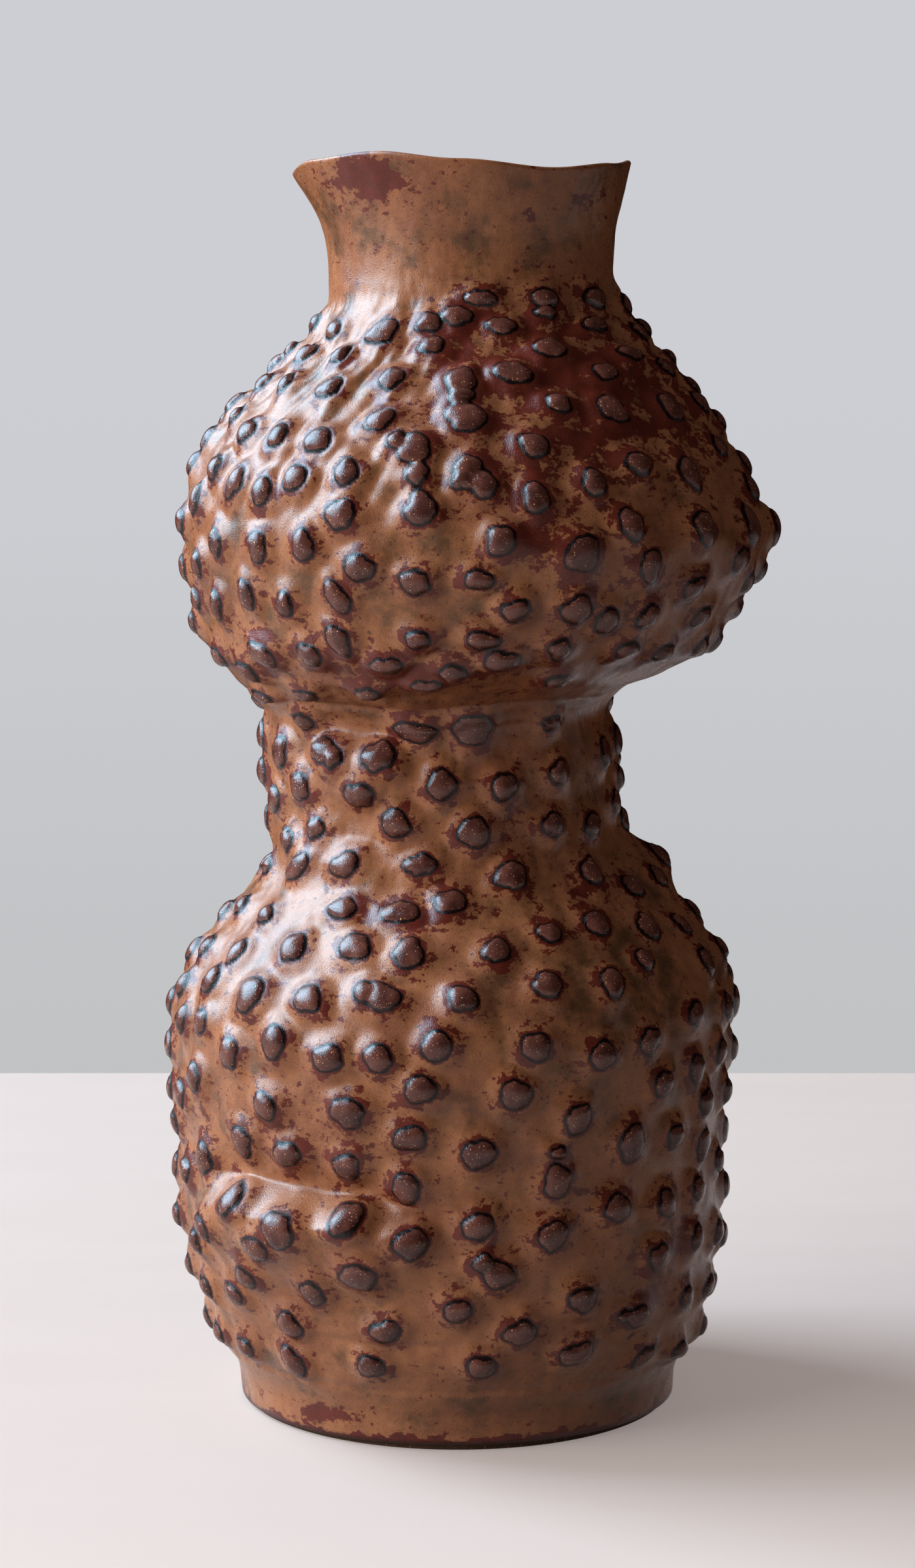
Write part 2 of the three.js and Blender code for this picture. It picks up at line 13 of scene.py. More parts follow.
import bpy
import numpy as np
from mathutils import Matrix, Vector


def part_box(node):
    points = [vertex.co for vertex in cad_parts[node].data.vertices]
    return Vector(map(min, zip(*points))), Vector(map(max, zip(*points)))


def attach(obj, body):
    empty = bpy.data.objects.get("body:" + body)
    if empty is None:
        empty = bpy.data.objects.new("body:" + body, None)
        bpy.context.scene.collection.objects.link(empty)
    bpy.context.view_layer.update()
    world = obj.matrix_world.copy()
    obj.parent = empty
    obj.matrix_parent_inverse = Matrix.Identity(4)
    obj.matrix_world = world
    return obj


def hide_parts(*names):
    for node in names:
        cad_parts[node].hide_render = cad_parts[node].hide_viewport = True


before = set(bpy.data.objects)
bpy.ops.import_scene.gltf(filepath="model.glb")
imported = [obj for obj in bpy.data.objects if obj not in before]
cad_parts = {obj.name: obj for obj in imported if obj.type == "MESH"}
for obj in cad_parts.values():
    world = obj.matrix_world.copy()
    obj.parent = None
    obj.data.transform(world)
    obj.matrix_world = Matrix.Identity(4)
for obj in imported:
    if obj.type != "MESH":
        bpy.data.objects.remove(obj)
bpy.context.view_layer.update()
MM = 0.001
print("sections in the frame:", ", ".join(sorted(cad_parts)))

# %% [markdown]
# The seams between the sections are read from the frame, so that every section of clay sits
# exactly where its solid sits. All shaping is done in millimetres and turned into metres last.

# %% Seams between the sections
def top_of(node):
    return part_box(node)[1].z / MM


SECTIONS = ["belly_bowl", "belly_shoulder", "waist_ring", "bulb_bowl", "bulb_shoulder"]
SEAM_FOOT = top_of("foot_band")
SEAM_LEDGE, SEAM_WAIST, SEAM_CREASE, SEAM_WIDEST, SEAM_NECK = [top_of(name) for name in SECTIONS]
TOP = top_of("neck_collar")
SLAB_TOP = top_of("base_slab")
SLAB_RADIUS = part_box("base_slab")[1].x / MM
print(f"seams at {SEAM_FOOT:.0f}, {SEAM_LEDGE:.0f}, {SEAM_WAIST:.0f}, {SEAM_CREASE:.0f},",
      f"{SEAM_WIDEST:.0f} and {SEAM_NECK:.0f} mm, lip at {TOP:.0f} mm")

# %% [markdown]
# The wall's outline is one smooth curve. Each station gives a height, the wall's radius there and
# how far the wall leans to the right. A curve that passes through its points, with its parameter
# taken from the square root of the distances, does not overshoot where stations lie close together,
# as they do at the waist's upper crease.

# %% Outline of the wall
STATIONS = [
    (0, 70.6, 0), (12, 72.1, 0), (20, 76.7, 0), (39.2, 82.8, -1), (61.6, 87.5, -2.1), (84, 87.3, -2.6),
    (120, 90, -2.1), (137.6, 88.2, -1), (149.9, 81.6, 0), (164.3, 69.7, 0), (175.7, 59.9, -0.6),
    (187, 56, -3.6), (210.6, 55, -5.3), (224.8, 55, -5.9), (230, 59.4, -6.2), (234.2, 64.5, -5),
    (238.8, 72.5, -1.1), (248.2, 81.3, 1.4), (263.8, 87.8, 5), (282, 91.5, 6.2), (293.1, 89.2, 4.5),
    (312, 80.3, 3.9), (331, 64.5, 5.6), (343.6, 52, 6.4), (353.1, 45.9, 4.8), (361, 45, 4),
    (374.6, 45.6, 3.6), (386.4, 48.4, 3), (400, 54, 1),
]


def smooth_curve(points, samples_per_span=24):
    points = np.array(points, float)
    ends = np.vstack([2 * points[0] - points[1], points, 2 * points[-1] - points[-2]])
    drawn = []
    for before, start, end, after in zip(ends, ends[1:], ends[2:], ends[3:]):
        knots = np.cumsum([0] + [np.linalg.norm(b - a) ** 0.5
                                 for a, b in ((before, start), (start, end), (end, after))])
        t = np.linspace(knots[1], knots[2], samples_per_span, endpoint=False)[:, None]
        ta, tb, tc, td = knots
        a1 = (tb - t) / (tb - ta) * before + (t - ta) / (tb - ta) * start
        a2 = (tc - t) / (tc - tb) * start + (t - tb) / (tc - tb) * end
        a3 = (td - t) / (td - tc) * end + (t - tc) / (td - tc) * after
        b1 = (tc - t) / (tc - ta) * a1 + (t - ta) / (tc - ta) * a2
        b2 = (td - t) / (td - tb) * a2 + (t - tb) / (td - tb) * a3
        drawn.append((tc - t) / (tc - tb) * b1 + (t - tb) / (tc - tb) * b2)
    return np.vstack(drawn + [points[-1:]])


OUTLINE = smooth_curve(STATIONS)
ALONG = np.concatenate([[0], np.cumsum(np.hypot(np.diff(OUTLINE[:, 0]), np.diff(OUTLINE[:, 1])))])


def radius_at(height):
    return np.interp(height, OUTLINE[:, 0], OUTLINE[:, 1])


def lean_at(height):
    return np.interp(height, OUTLINE[:, 0], OUTLINE[:, 2])


def along_at(height):
    return np.interp(height, OUTLINE[:, 0], ALONG)


def height_along(distance):
    return np.interp(distance, ALONG, OUTLINE[:, 0])


def smoothstep(x, low, high):
    t = np.clip((np.asarray(x, float) - low) / (high - low), 0, 1)
    return t * t * (3 - 2 * t)


print(f"the wall is {ALONG[-1]:.0f} mm from table to lip, measured along the clay")

# %% [markdown]
# No hand-built pot is truly round. A slow wave of half a millimetre and a quicker one of a third
# run round the wall. Soft swells and dents are added, each one fading out round its middle: the
# lobe at the rear right of the lower belly, the corner at the right where the upper belly is
# widest, dents below and above it, and a fuller shoulder at the left front, under the neck. A
# swell has an azimuth, a height, a spread in degrees, a rise in millimetres and an amount, which
# is negative for a dent. Azimuths run from 0 at the front to 90 at the right and -90 at the left.
#
# At the left front there are three folds of clay with a crisp upper edge. A fold has a middle
# azimuth, a spread, the heights of its edge, toe and end, its depth, and the depth of the hollow
# above it. It keeps its depth over most of its spread and then ends quickly. The lip dips and
# rises: each of its stations is an azimuth and a share of the wave.

# %% Swells, folds and the lip's wave
SWELLS = [
    (116, 173.6, 26, 9, 10),
    (88, 282, 40, 12, 1.6),
    (75, 234, 40, 9, -3),
    (88, 258, 44, 17, -2.2),
    (85, 325, 36, 20, -1.1),
    (-33, 350, 22, 7, 2.2),
]
FOLDS = [
    (-34, 25, 84.4, 75, 48, 8.2, 2.6),
    (-40, 19, 190, 181, 160, 2.6, 0.9),
    (-31, 16, 222, 211, 197, 3.8, 0.8),
]
BELT, FACETS = 0.5, 0.35
FOLD_ENDS = 6
FOLD_TILT = 0.05
FOLD_SAG = 0.003
FOLD_BEND = 1.15
HOLLOW_RISE = 12
LIP_WAVE = 4.8
LIP_DROPS = [(-90, 0.94), (-60, 0.33), (-28, 0), (0, 0.5), (32, 1), (62, 0.58), (90, 0.2),
             (130, 0.54), (180, 0.17), (225, 0.62), (270, 0.94)]


def turn_between(a, b):
    return (a - b + 540) % 360 - 180


def unevenness(azimuth, height):
    belt = BELT * np.sin(np.radians(2 * azimuth + 0.9 * height))
    facets = FACETS * np.sin(np.radians(3 * azimuth - 1.6 * height + 40))
    moved = smoothstep(height, SEAM_FOOT, 2 * SEAM_FOOT) * (belt + facets)
    for at, level, spread, rise, amount in SWELLS:
        moved = moved + amount * np.exp(-(turn_between(azimuth, at) / spread) ** 2
                                        - ((height - level) / rise) ** 2)
    for at, spread, edge, toe, end, depth, hollow in FOLDS:
        turn = turn_between(azimuth, at)
        sideways = np.exp(-(turn / spread) ** FOLD_ENDS)
        line = edge - FOLD_TILT * turn - FOLD_SAG * turn ** 2
        shelf = np.clip((line - height) / (edge - toe), 0, 1)
        above = np.maximum(height - line, 0)
        hollowed = hollow * np.exp(-(above / HOLLOW_RISE) ** 2) * (1 - shelf)
        stepped = depth * (1 - (1 - shelf) ** FOLD_BEND) * smoothstep(height, end, toe)
        moved = moved + sideways * (stepped - hollowed)
    return moved


def lip_drop(azimuth):
    turn = (np.asarray(azimuth, float) + 450) % 360 - 90
    drop = np.zeros_like(turn)
    for (start, low), (end, high) in zip(LIP_DROPS, LIP_DROPS[1:]):
        here = (turn >= start) & (turn <= end)
        drop = np.where(here, low + (high - low) * smoothstep(turn, start, end), drop)
    return LIP_WAVE * drop


def wall_reach(azimuth, height):
    radius, lean = radius_at(height), lean_at(height)
    sine, cosine = np.sin(np.radians(azimuth)), np.cos(np.radians(azimuth))
    return lean * sine + np.sqrt(radius ** 2 - (lean * cosine) ** 2) + unevenness(azimuth, height)


def placed(azimuth, height, offset=0.0):
    """Points of the clay in millimetres, moved out from the wall by an offset."""
    reach = wall_reach(azimuth, height) + offset
    turn = np.radians(azimuth)
    level = height - smoothstep(height, SEAM_NECK, TOP) * lip_drop(azimuth)
    return np.stack(np.broadcast_arrays(reach * np.sin(turn), -reach * np.cos(turn), level), -1)


print(f"widest wall {2 * radius_at(SEAM_WIDEST):.0f} mm, waist {2 * radius_at(SEAM_WAIST):.0f} mm")

# %% [markdown]
# The buds. Each is given by its azimuth, height, width and tallness in millimetres, and by the
# angle that it is turned. No two are alike, and on the photographed side they follow no pattern, so
# they are set one by one, like the potter did. A few have a small second lobe, set as a bud of its
# own that melts into the first.

# %% Buds of the photographed side
FRONT_BUDS = [
    (-86, 26, 8, 8), (-70, 27, 8, 8), (-56, 27, 8, 7), (-39, 27, 8, 11, 40), (-19, 30, 9, 8),
    (5, 31, 10, 8), (26, 33, 12, 8, 20), (46, 27, 11, 7, 30), (62, 24, 9, 7), (84, 24, 9, 8),
    (-82, 45, 9, 8), (-68, 43, 8, 8), (-54, 46, 9, 8), (-38, 40, 11, 8, -25), (-15, 42, 10, 8),
    (13, 42, 11, 9), (41, 42, 10, 8, 20), (37, 43, 6, 4), (58, 43, 9, 8), (73, 41, 9, 8),
    (87, 37, 10, 10),
    (-47, 54, 9, 8), (-30, 53, 9, 9), (0, 50, 9, 8), (26, 51, 10, 9),
    (-81, 62, 8, 8), (-66, 59, 8, 8), (-19, 61, 11, 10), (8, 61, 10, 9), (5, 65, 7, 6),
    (45, 60, 9, 9), (59, 62, 8, 9), (73, 59, 8, 9), (87, 53, 10, 10),
    (-57, 67, 9, 9), (-40, 66, 10, 8), (-34, 72.5, 10, 10), (-9, 71, 10, 9), (19, 72, 10, 10),
    (87, 69, 10, 10),
    (-87, 76, 9, 9), (-71, 80, 9, 8), (-47, 78, 9, 8), (-21, 77, 10, 8), (4, 76, 10, 9),
    (34, 78, 11, 9), (48, 76, 9, 10), (60, 77, 8, 9), (74, 82, 8, 9),
    (-79, 93, 8, 9), (-61, 87, 9, 11), (-10, 88, 9, 11), (20, 89, 10, 11), (20, 98, 6, 4),
    (62, 91, 9, 12), (87, 88, 12, 11),
    (-47, 97, 9, 10), (-35, 96, 10, 8), (-22, 94, 9, 9, 20), (4, 99, 11, 10), (37, 98, 10, 14),
    (50, 97, 9, 8),
    (-84, 103, 9, 9), (-71, 105, 9, 10), (-9, 104, 11, 8), (24, 108, 10, 10), (61, 105, 9, 9),
    (76, 104, 8, 9),
    (-62, 113, 9, 10), (-39, 110, 9, 9), (-21, 111, 11, 10), (-84, 117, 10, 10), (-7, 119, 10, 9),
    (11, 117, 10, 10), (45, 115, 9, 9, -15), (56, 117, 9, 10), (68, 119, 8, 9), (84, 116, 9, 9),
    (-70, 129, 8, 9), (-60, 131, 8, 8), (-49, 124, 9, 10), (-37, 130, 9, 11), (-25, 127, 10, 9),
    (-15, 128, 9, 9), (-4, 132, 9, 10), (15, 131, 9, 10), (29, 127, 10, 9), (41, 129, 9, 9),
    (56, 134, 8, 8), (73, 132, 8, 9), (88, 130, 10, 11), (-87, 130, 9, 10),
    (-75, 138, 8, 8), (-61, 143, 8, 10, -30), (-46, 142, 11, 12), (-31, 143, 10, 9),
    (-15, 145, 11, 9), (-19, 146, 8, 7), (1, 145, 9, 9), (19, 148, 10, 9), (34, 147, 9, 10),
    (69, 147, 9, 10), (-87, 146, 10, 9), (86, 147, 9, 9),
    (-75, 150, 8, 9), (-58, 152, 8, 10, -25), (-40, 156, 10, 10), (-24, 158, 11, 10),
    (-11, 157, 10, 11), (9, 158, 9, 9), (46, 152, 9, 7), (54, 160, 10, 10), (69, 158, 9, 9),
    (-86, 159, 9, 9), (87, 159, 9, 9),
    (-73, 163, 8, 8), (-56, 163, 8, 8), (23, 162, 9, 7), (37, 163, 9, 10, 20), (-31, 168, 10, 9),
    (-15, 168, 12, 9), (-2, 171, 11, 9), (60, 171, 9, 9), (80, 171, 9, 9),
    (-77, 175, 8, 8), (-53, 178, 14, 8, 35), (-34, 181, 10, 8, 25), (-11, 182, 11, 7),
    (16, 178, 11, 10), (45, 177, 10, 9),
    (-62, 186, 8, 8), (-48, 191, 8, 8), (-19, 195, 9, 10), (5, 192, 10, 11), (33, 193, 9, 8),
    (53, 191, 10, 9), (-71, 198, 9, 10), (74, 196, 8, 9), (88, 189, 10, 9),
    (-54, 204, 9, 9), (-30, 204, 10, 8), (-5, 207, 9, 10), (15, 206, 9, 9), (36, 209, 8, 8),
    (-87, 205, 10, 10), (66, 213, 8, 10), (86, 203, 9, 9),
    (-65, 214, 9, 11, -15), (-43, 216, 9, 8), (-38, 214, 6, 6), (-24, 215, 10, 9),
    (-87, 217, 12, 11), (87, 215, 11, 12),
    (-51, 226, 8, 8), (-13, 224.5, 13, 10, -10), (4.5, 225.5, 12, 16, -16), (33, 226, 8, 8),
    (-60, 234, 9, 7, -35), (-41, 236, 9, 7), (-22, 238, 9, 6), (-7, 241, 9, 5), (23, 242, 8, 6),
    (-68, 245, 9, 8, -40), (-56, 242, 10, 7, -40), (-1, 245, 9, 7),
    (-47, 248, 13, 8, -20), (-33, 249, 9, 8, -25), (-15, 247, 10, 6), (9, 249, 11, 7),
    (21, 252, 8, 7), (37, 251, 10, 6), (49, 249, 9, 6), (65, 249, 10, 7), (86, 248, 9, 8),
    (-25, 254, 8, 11, 40), (-8, 255, 9, 6), (5, 255, 10, 6), (30, 260, 8, 9), (39, 261, 9, 7, 25),
    (56, 259, 10, 7, 20), (-82, 254, 8, 8), (88, 258, 9, 8),
    (-73, 262, 8, 9), (-60, 262, 7, 10), (-48, 266, 8, 10), (-37, 264, 7, 9),
    (-24, 267, 7, 13, 40), (11, 264, 9, 7, 30), (23, 264, 11, 9), (49, 269, 10, 7, 30),
    (73, 268, 8, 8),
    (-86, 271, 10, 10), (-67, 274, 7, 9), (-8, 272, 10, 8), (4, 273, 9, 6), (88, 270, 10, 9),
    (-19, 276, 10, 9), (37, 276, 8, 10), (62, 276, 8, 9),
    (-57, 281, 8, 10), (-43, 281, 8, 10), (-31, 282, 8, 10), (8, 284, 9, 9), (23, 280, 11, 11, 45),
    (50, 286, 9, 10), (66, 286, 8, 12), (88, 283, 12, 12), (33, 288, 8, 10), (-79, 286, 8, 9),
    (-68, 293, 7, 10), (-23, 291, 10, 10), (-7, 293, 10, 11), (15, 296, 8, 11), (76, 296, 9, 10),
    (-63, 303, 8, 9), (-52, 299, 8, 11, -25), (-43, 297, 8, 10), (-35, 301, 9, 9),
    (-23, 303, 9, 9), (2, 305, 9, 8), (5, 300, 9, 9), (1, 301, 7, 6), (27, 300, 8, 9),
    (38, 305, 9, 8), (51, 302, 10, 11), (-86, 303, 8, 9), (86, 303, 10, 10),
    (-57, 314, 9, 9), (-68, 318, 6, 7), (-44, 313, 8, 9), (-32, 312, 10, 9), (-9, 310, 10, 11),
    (-13, 312, 7, 6), (-8, 303, 7, 8), (16, 311, 9, 9), (-84, 311, 9, 9), (68, 309, 8, 8),
    (88, 316, 9, 9),
    (-18, 318, 10, 8, 25), (2, 319, 13, 11), (1, 330, 10, 10), (1, 325, 8, 8), (24, 323, 8, 8),
    (37, 321, 10, 11), (56, 321, 11, 11), (-86, 321, 9, 9), (75, 322, 9, 9),
    (-71, 328, 8, 8), (-55, 328, 7, 8), (-36, 327, 10, 8, 25), (-18, 330, 9, 9),
    (15, 332, 12, 9), (41, 332, 9, 7), (86, 327, 9, 9), (69, 333, 9, 8), (-86, 334, 9, 8),
    (-59, 337, 8, 9), (-82, 338, 7, 7), (-40, 337, 7, 9, -20), (-8, 340, 9, 8), (28, 339, 10, 9),
    (55, 337, 11, 6), (88, 336, 8, 8),
    (-80, 347, 8, 8), (-53, 345, 8, 9, -20), (-27, 344, 10, 13, -35), (0, 349, 10, 8),
    (-10, 347, 9, 7), (15, 346, 9, 7), (49, 346, 10, 6), (32, 350, 7, 5), (72, 344, 8, 8),
    (88, 345, 8, 8), (9, 355, 10, 6, -10), (33, 355, 9, 7), (56, 355, 10, 8), (86, 353, 10, 9),
]
print(len(FRONT_BUDS), "buds set by hand")

# %% [markdown]
# The photograph does not show the far side. There the buds go on in staggered rows, each one
# nudged, turned and sized a little by chance. The numbers come from a sine, so that every run
# gives the same pot.

# %% Buds of the far side
BACK_PITCH, BACK_ROW_PITCH = 24, 18
BACK_FROM, BACK_TO = 99, 261
BUD_WIDTH = 9
BACK_JITTER = 0.15


def chance(seed):
    wave = math.sin(seed * 127.1) * 43758.5
    return wave - math.floor(wave)


def back_buds():
    buds = []
    low, high = SEAM_FOOT + BUD_WIDTH, SEAM_NECK - BUD_WIDTH
    levels = np.linspace(low, high, round((high - low) / BACK_ROW_PITCH) + 1)
    for row, level in enumerate(levels):
        pitch = math.degrees(BACK_PITCH / radius_at(level))
        first = BACK_FROM + (row % 2) * pitch / 2
        for k in range(int((BACK_TO - first) / pitch) + 1):
            sideways, upward, size = [chance(row + k / 40 + part) for part in (1, 2, 3)]
            azimuth = first + (k + BACK_JITTER * (2 * sideways - 1)) * pitch
            height = level + BACK_JITTER * (2 * upward - 1) * BACK_ROW_PITCH
            width = BUD_WIDTH * (0.9 + 0.3 * size)
            tall = width * (0.85 + 0.25 * chance(row + k / 40 + 4))
            buds.append((azimuth, height, width, tall, 90 * chance(row + k / 40 + 5) - 45))
    return buds


BUDS = FRONT_BUDS + back_buds()
print(len(BUDS), "buds in all")

# %% [markdown]
# The skin of the vase is a fine net of points, a bit under a millimetre apart. For each point we work
# out how far along the clay it lies from the edge of the nearest bud's cap, negative on the cap itself
# and never more than 12 mm. A cap is an oval a little smaller than its bud, pushed in and out by waves
# of two, three, four and six lobes, so that no two are alike. That one distance does three jobs: it
# raises the soft swell round a bud and the domed cap on it, and later it tells the glaze where to
# break to maroon, where the blue-black line runs, and where olive gathers, which is partly painted
# shade in the hollows between the buds.

# %% The net and the distance to the nearest cap
COLUMNS = 660
ROW_STEP = 0.92
COLUMN_STEP = 0.8
FAR = 12.0
CAP_SHARE = 0.92
CAP_LOBES = ((2, 0.06), (3, 0.055), (4, 0.045), (6, 0.025))
AZIMUTHS = np.arange(COLUMNS) * 360 / COLUMNS


def levels_between(low, high):
    start, end = along_at(low), along_at(high)
    count = max(2, round((end - start) / ROW_STEP))
    levels = height_along(np.linspace(start, end, count + 1))
    levels[0], levels[-1] = low, high
    return levels


def melt(a, b, softness=2.0):
    """The smaller of two distances, with the corner between them rounded."""
    mixed = np.clip(0.5 + 0.5 * (b - a) / softness, 0, 1)
    return b + (a - b) * mixed - softness * mixed * (1 - mixed)


def cap_distance(levels):
    """Distance to the nearest cap's edge, and how domed the cap is, row by row."""
    distance = np.full((len(levels), COLUMNS), FAR)
    dome = np.zeros_like(distance)
    along = along_at(levels)
    for number, (azimuth, height, width, tall, *rest) in enumerate(BUDS):
        tilt = math.radians(rest[0]) if rest else 0
        rows = np.flatnonzero(np.abs(along - along_at(height)) < FAR + tall)
        if not len(rows):
            continue
        reach = radius_at(height)
        window = math.degrees((FAR + width) / reach)
        columns = np.flatnonzero(np.abs(turn_between(AZIMUTHS, azimuth)) < window)
        across = np.radians(turn_between(AZIMUTHS[columns], azimuth))[None, :] * reach
        upward = (along[rows] - along_at(height))[:, None]
        u = across * math.cos(tilt) + upward * math.sin(tilt)
        v = upward * math.cos(tilt) - across * math.sin(tilt)
        bearing = np.arctan2(v, u)
        uneven = 1 + sum(amount * (0.4 + chance(number + 0.1 * lobes))
                         * np.sin(lobes * bearing + 7 * chance(number + 0.2 * lobes))
                         for lobes, amount in CAP_LOBES)
        oval = 0.5 / np.hypot(np.cos(bearing) / width, np.sin(bearing) / tall)
        half = CAP_SHARE * uneven * oval
        length = np.hypot(u, v)
        block = np.ix_(rows, columns)
        distance[block] = melt(distance[block], length - half)
        dome[block] = np.maximum(dome[block], 1 - np.minimum(length / half, 1) ** 2)
    return distance, dome


# %% [markdown]
# From the distance to the relief: round a bud the wall swells softly, a little less on the lower
# belly's shoulder, where the clay was smoothed, and the cap stands on the swell as a low dome with
# a steep rim. The touch of the fingers is white noise, smoothed over some millimetres up and along
# the clay. Where a rib or finger was drawn along, it is smoothed much further that way; on the
# upper belly those strokes run aslant and are deepest at the left front. A few creases were left
# where the clay was folded or scraped: each has a height, a wave, a depth, which is negative where
# the clay stands up instead, a width, and the azimuths between which it runs. All marks are fainter
# on the plain collar and foot.

# %% Relief of the skin
CREASES = [
    (231, 1.0, 1.1, 1.3, -88, 60), (237.5, 1.6, 0.5, 1.2, -60, 25), (243, 1.4, 0.35, 1.2, -35, 50),
    (37, 0.5, 0.5, 1.1, -38, 4), (31, 0.8, 0.45, 1.1, 28, 52), (226, 0.8, -0.5, 1.4, -40, 30),
    (20.5, 0.3, 0.5, 1.3, -90, 90), (14, 0.4, -0.2, 1.4, -80, 70), (360, 1.2, -0.25, 1.6, -70, 40),
]


def touch(shape, up, along, seed, slant=0):
    """Smooth noise of unit size on the net, smoothed over millimetres up and along the clay."""
    noise = np.random.default_rng(seed).standard_normal(shape)
    rise = np.fft.fftfreq(shape[0])[:, None] * 2 * math.pi / ROW_STEP
    side = np.fft.fftfreq(shape[1])[None, :] * 2 * math.pi / COLUMN_STEP
    cosine, sine = math.cos(math.radians(slant)), math.sin(math.radians(slant))
    steep, flat = rise * cosine + side * sine, side * cosine - rise * sine
    faded = np.exp(-((steep * up) ** 2 + (flat * along) ** 2) / 2)
    field = np.fft.ifft2(np.fft.fft2(noise) * faded).real
    return field / field.std()


SWELL_FULL = 2.09
SWELL_LESS = 0.726
SWELL_REACH = 3.5
SOFT_LEVEL, SOFT_RISE = 168, 22
CAP_RISE, CAP_RIM, CAP_BEND = 0.7, 1.3, 2.4
CAP_DOME = 1.25
STROKES_AT, STROKES_SPREAD, STROKES_SLANT = -38, 30, 28
CREASE_FADE = 12
PLAIN_FADE = 0.55


def relief(levels, distance, dome):
    height = levels[:, None]
    shape = distance.shape
    swell = SWELL_FULL - SWELL_LESS * np.exp(-((height - SOFT_LEVEL) / SOFT_RISE) ** 2)
    swell = swell * np.exp(-(np.maximum(distance, 0) / SWELL_REACH) ** 2)
    inward = np.clip(-distance / CAP_RIM, 0, 1)
    cap = CAP_RISE * (1 - (1 - inward) ** CAP_BEND) + CAP_DOME * dome
    off_caps = smoothstep(distance, 0, 2)

    fingers = 0.22 * touch(shape, up=4, along=4, seed=1)
    fingers = fingers + 0.07 * touch(shape, up=1.4, along=1.4, seed=2)
    at_left = np.exp(-(turn_between(AZIMUTHS, STROKES_AT) / STROKES_SPREAD) ** 2)
    strokes = touch(shape, up=8, along=1.6, seed=3, slant=STROKES_SLANT)
    strokes = strokes * (0.14 + 0.3 * at_left)
    strokes = strokes * smoothstep(height, SEAM_WIDEST, SEAM_WIDEST + 20)
    strokes = strokes * smoothstep(-height, 10 - SEAM_NECK, 28 - SEAM_NECK)
    drawn = 0.09 * touch(shape, up=1.3, along=9, seed=4)
    drawn = drawn * smoothstep(-height, -SEAM_LEDGE, -SEAM_FOOT)
    marks = fingers + (strokes + drawn) * off_caps
    for level, wave, depth, width, start, end in CREASES:
        line = level + wave * np.sin(np.radians(3 * AZIMUTHS))
        line = line + 0.6 * wave * np.sin(np.radians(7 * AZIMUTHS))
        fade = smoothstep(turn_between(AZIMUTHS, start), 0, CREASE_FADE)
        fade = fade * smoothstep(turn_between(end, AZIMUTHS), 0, CREASE_FADE)
        marks = marks - depth * fade * np.exp(-((height - line) / width) ** 2) * off_caps
    collar = smoothstep(height, SEAM_NECK - 8, SEAM_NECK)
    foot = smoothstep(-height, -SEAM_FOOT, 6 - SEAM_FOOT)
    return swell + cap + marks * (1 - PLAIN_FADE * (collar + foot))


# %% [markdown]
# Where the glaze turns maroon was settled by the kiln. We note the patches by azimuth, height, spread
# in degrees, rise in millimetres and strength, and hand the sum to the glaze as an attribute of the
# clay. The glaze itself breaks each patch up into ragged spots. The places where olive clouds gather,
# partly the glaze's own colour and partly painted shade, are noted in the same way.

# %% Maroon patches, and olive clouds that are partly painted shade
MAROON = [
    (28, 334, 38, 20, 0.8), (2, 338, 14, 16, 0.5), (52, 318, 22, 18, 0.7), (16, 306, 18, 14, 0.65),
    (5, 240, 40, 6, 0.5), (48, 246, 22, 9, 0.6), (-48, 252, 20, 8, 0.45),
    (17, 283, 9, 7, 0.9), (25, 272, 8, 5, 0.7), (43, 268, 12, 7, 0.5), (-20, 245, 26, 7, 0.75),
    (18, 192, 8, 8, 0.8), (-8, 170, 16, 9, 0.7), (-33, 102, 22, 14, 0.55), (-72, 88, 16, 18, 0.5),
    (47, 56, 15, 14, 0.7), (24, 78, 14, 10, 0.4), (-34, 8, 11, 4.5, 1), (-36, 391, 19, 9, 1.5),
    (52, 388, 13, 4, 0.9), (-45, 362, 5, 3, 0.5), (40, 170, 14, 9, 0.5), (-60, 66, 20, 12, 0.35),
    (130, 325, 30, 22, 0.7), (170, 260, 28, 14, 0.6), (215, 180, 26, 16, 0.6),
    (150, 110, 24, 20, 0.5), (235, 330, 26, 18, 0.6), (200, 60, 26, 18, 0.4),
    (120, 60, 16, 14, 0.4), (185, 392, 16, 6, 0.7),
]
DARK = [
    (20, 372, 34, 12, 0.3), (30, 14, 50, 8, 0.5), (38, 150, 22, 20, 0.8), (45, 130, 24, 22, 0.5),
    (-10, 300, 16, 14, 0.4), (-12, 265, 20, 10, 0.4), (-60, 262, 16, 10, 0.4),
    (160, 130, 30, 24, 0.6), (200, 300, 30, 24, 0.5), (-30, 330, 26, 12, 0.5),
    # Painted shade: this patch darkens the collar's left, which the lamps leave too light.
    (-36, 376, 30, 14, 0.7),
]
STRONGEST = 1.5


def patches(spots, azimuth, height):
    total = np.zeros(np.broadcast(azimuth, height).shape)
    for at, level, spread, rise, strength in spots:
        total += strength * np.exp(-(turn_between(azimuth, at) / spread) ** 2
                                   - ((height - level) / rise) ** 2)
    return np.clip(total, 0, STRONGEST)


# %% [markdown]
# One net for the whole outside keeps the sections flush. Its directions square to the surface are
# kept too, so that light runs across the seams as if there were none, as on the fired pot. The net
# starts above the foot's undercut and ends where the lip begins to round over.

# %% The outside of the whole vase
LIP_ROUND, LIP_THINS = 1.5, 8
UNDERCUT_TOP = 3.8
SEAMS = [SEAM_FOOT, SEAM_LEDGE, SEAM_WAIST, SEAM_CREASE, SEAM_WIDEST, SEAM_NECK]
SPANS = {"foot_band": (UNDERCUT_TOP, SEAM_FOOT)}
SPANS.update(zip(SECTIONS, zip(SEAMS, SEAMS[1:])))
SPANS["neck_collar"] = (SEAM_NECK, TOP - LIP_ROUND)
ROWS = {name: levels_between(*span) for name, span in SPANS.items()}
FIRST = {}
skin_levels = []
for name, rows in ROWS.items():
    FIRST[name] = max(0, len(skin_levels) - 1)
    skin_levels.extend(rows[1:] if skin_levels else rows)
skin_levels = np.array(skin_levels)


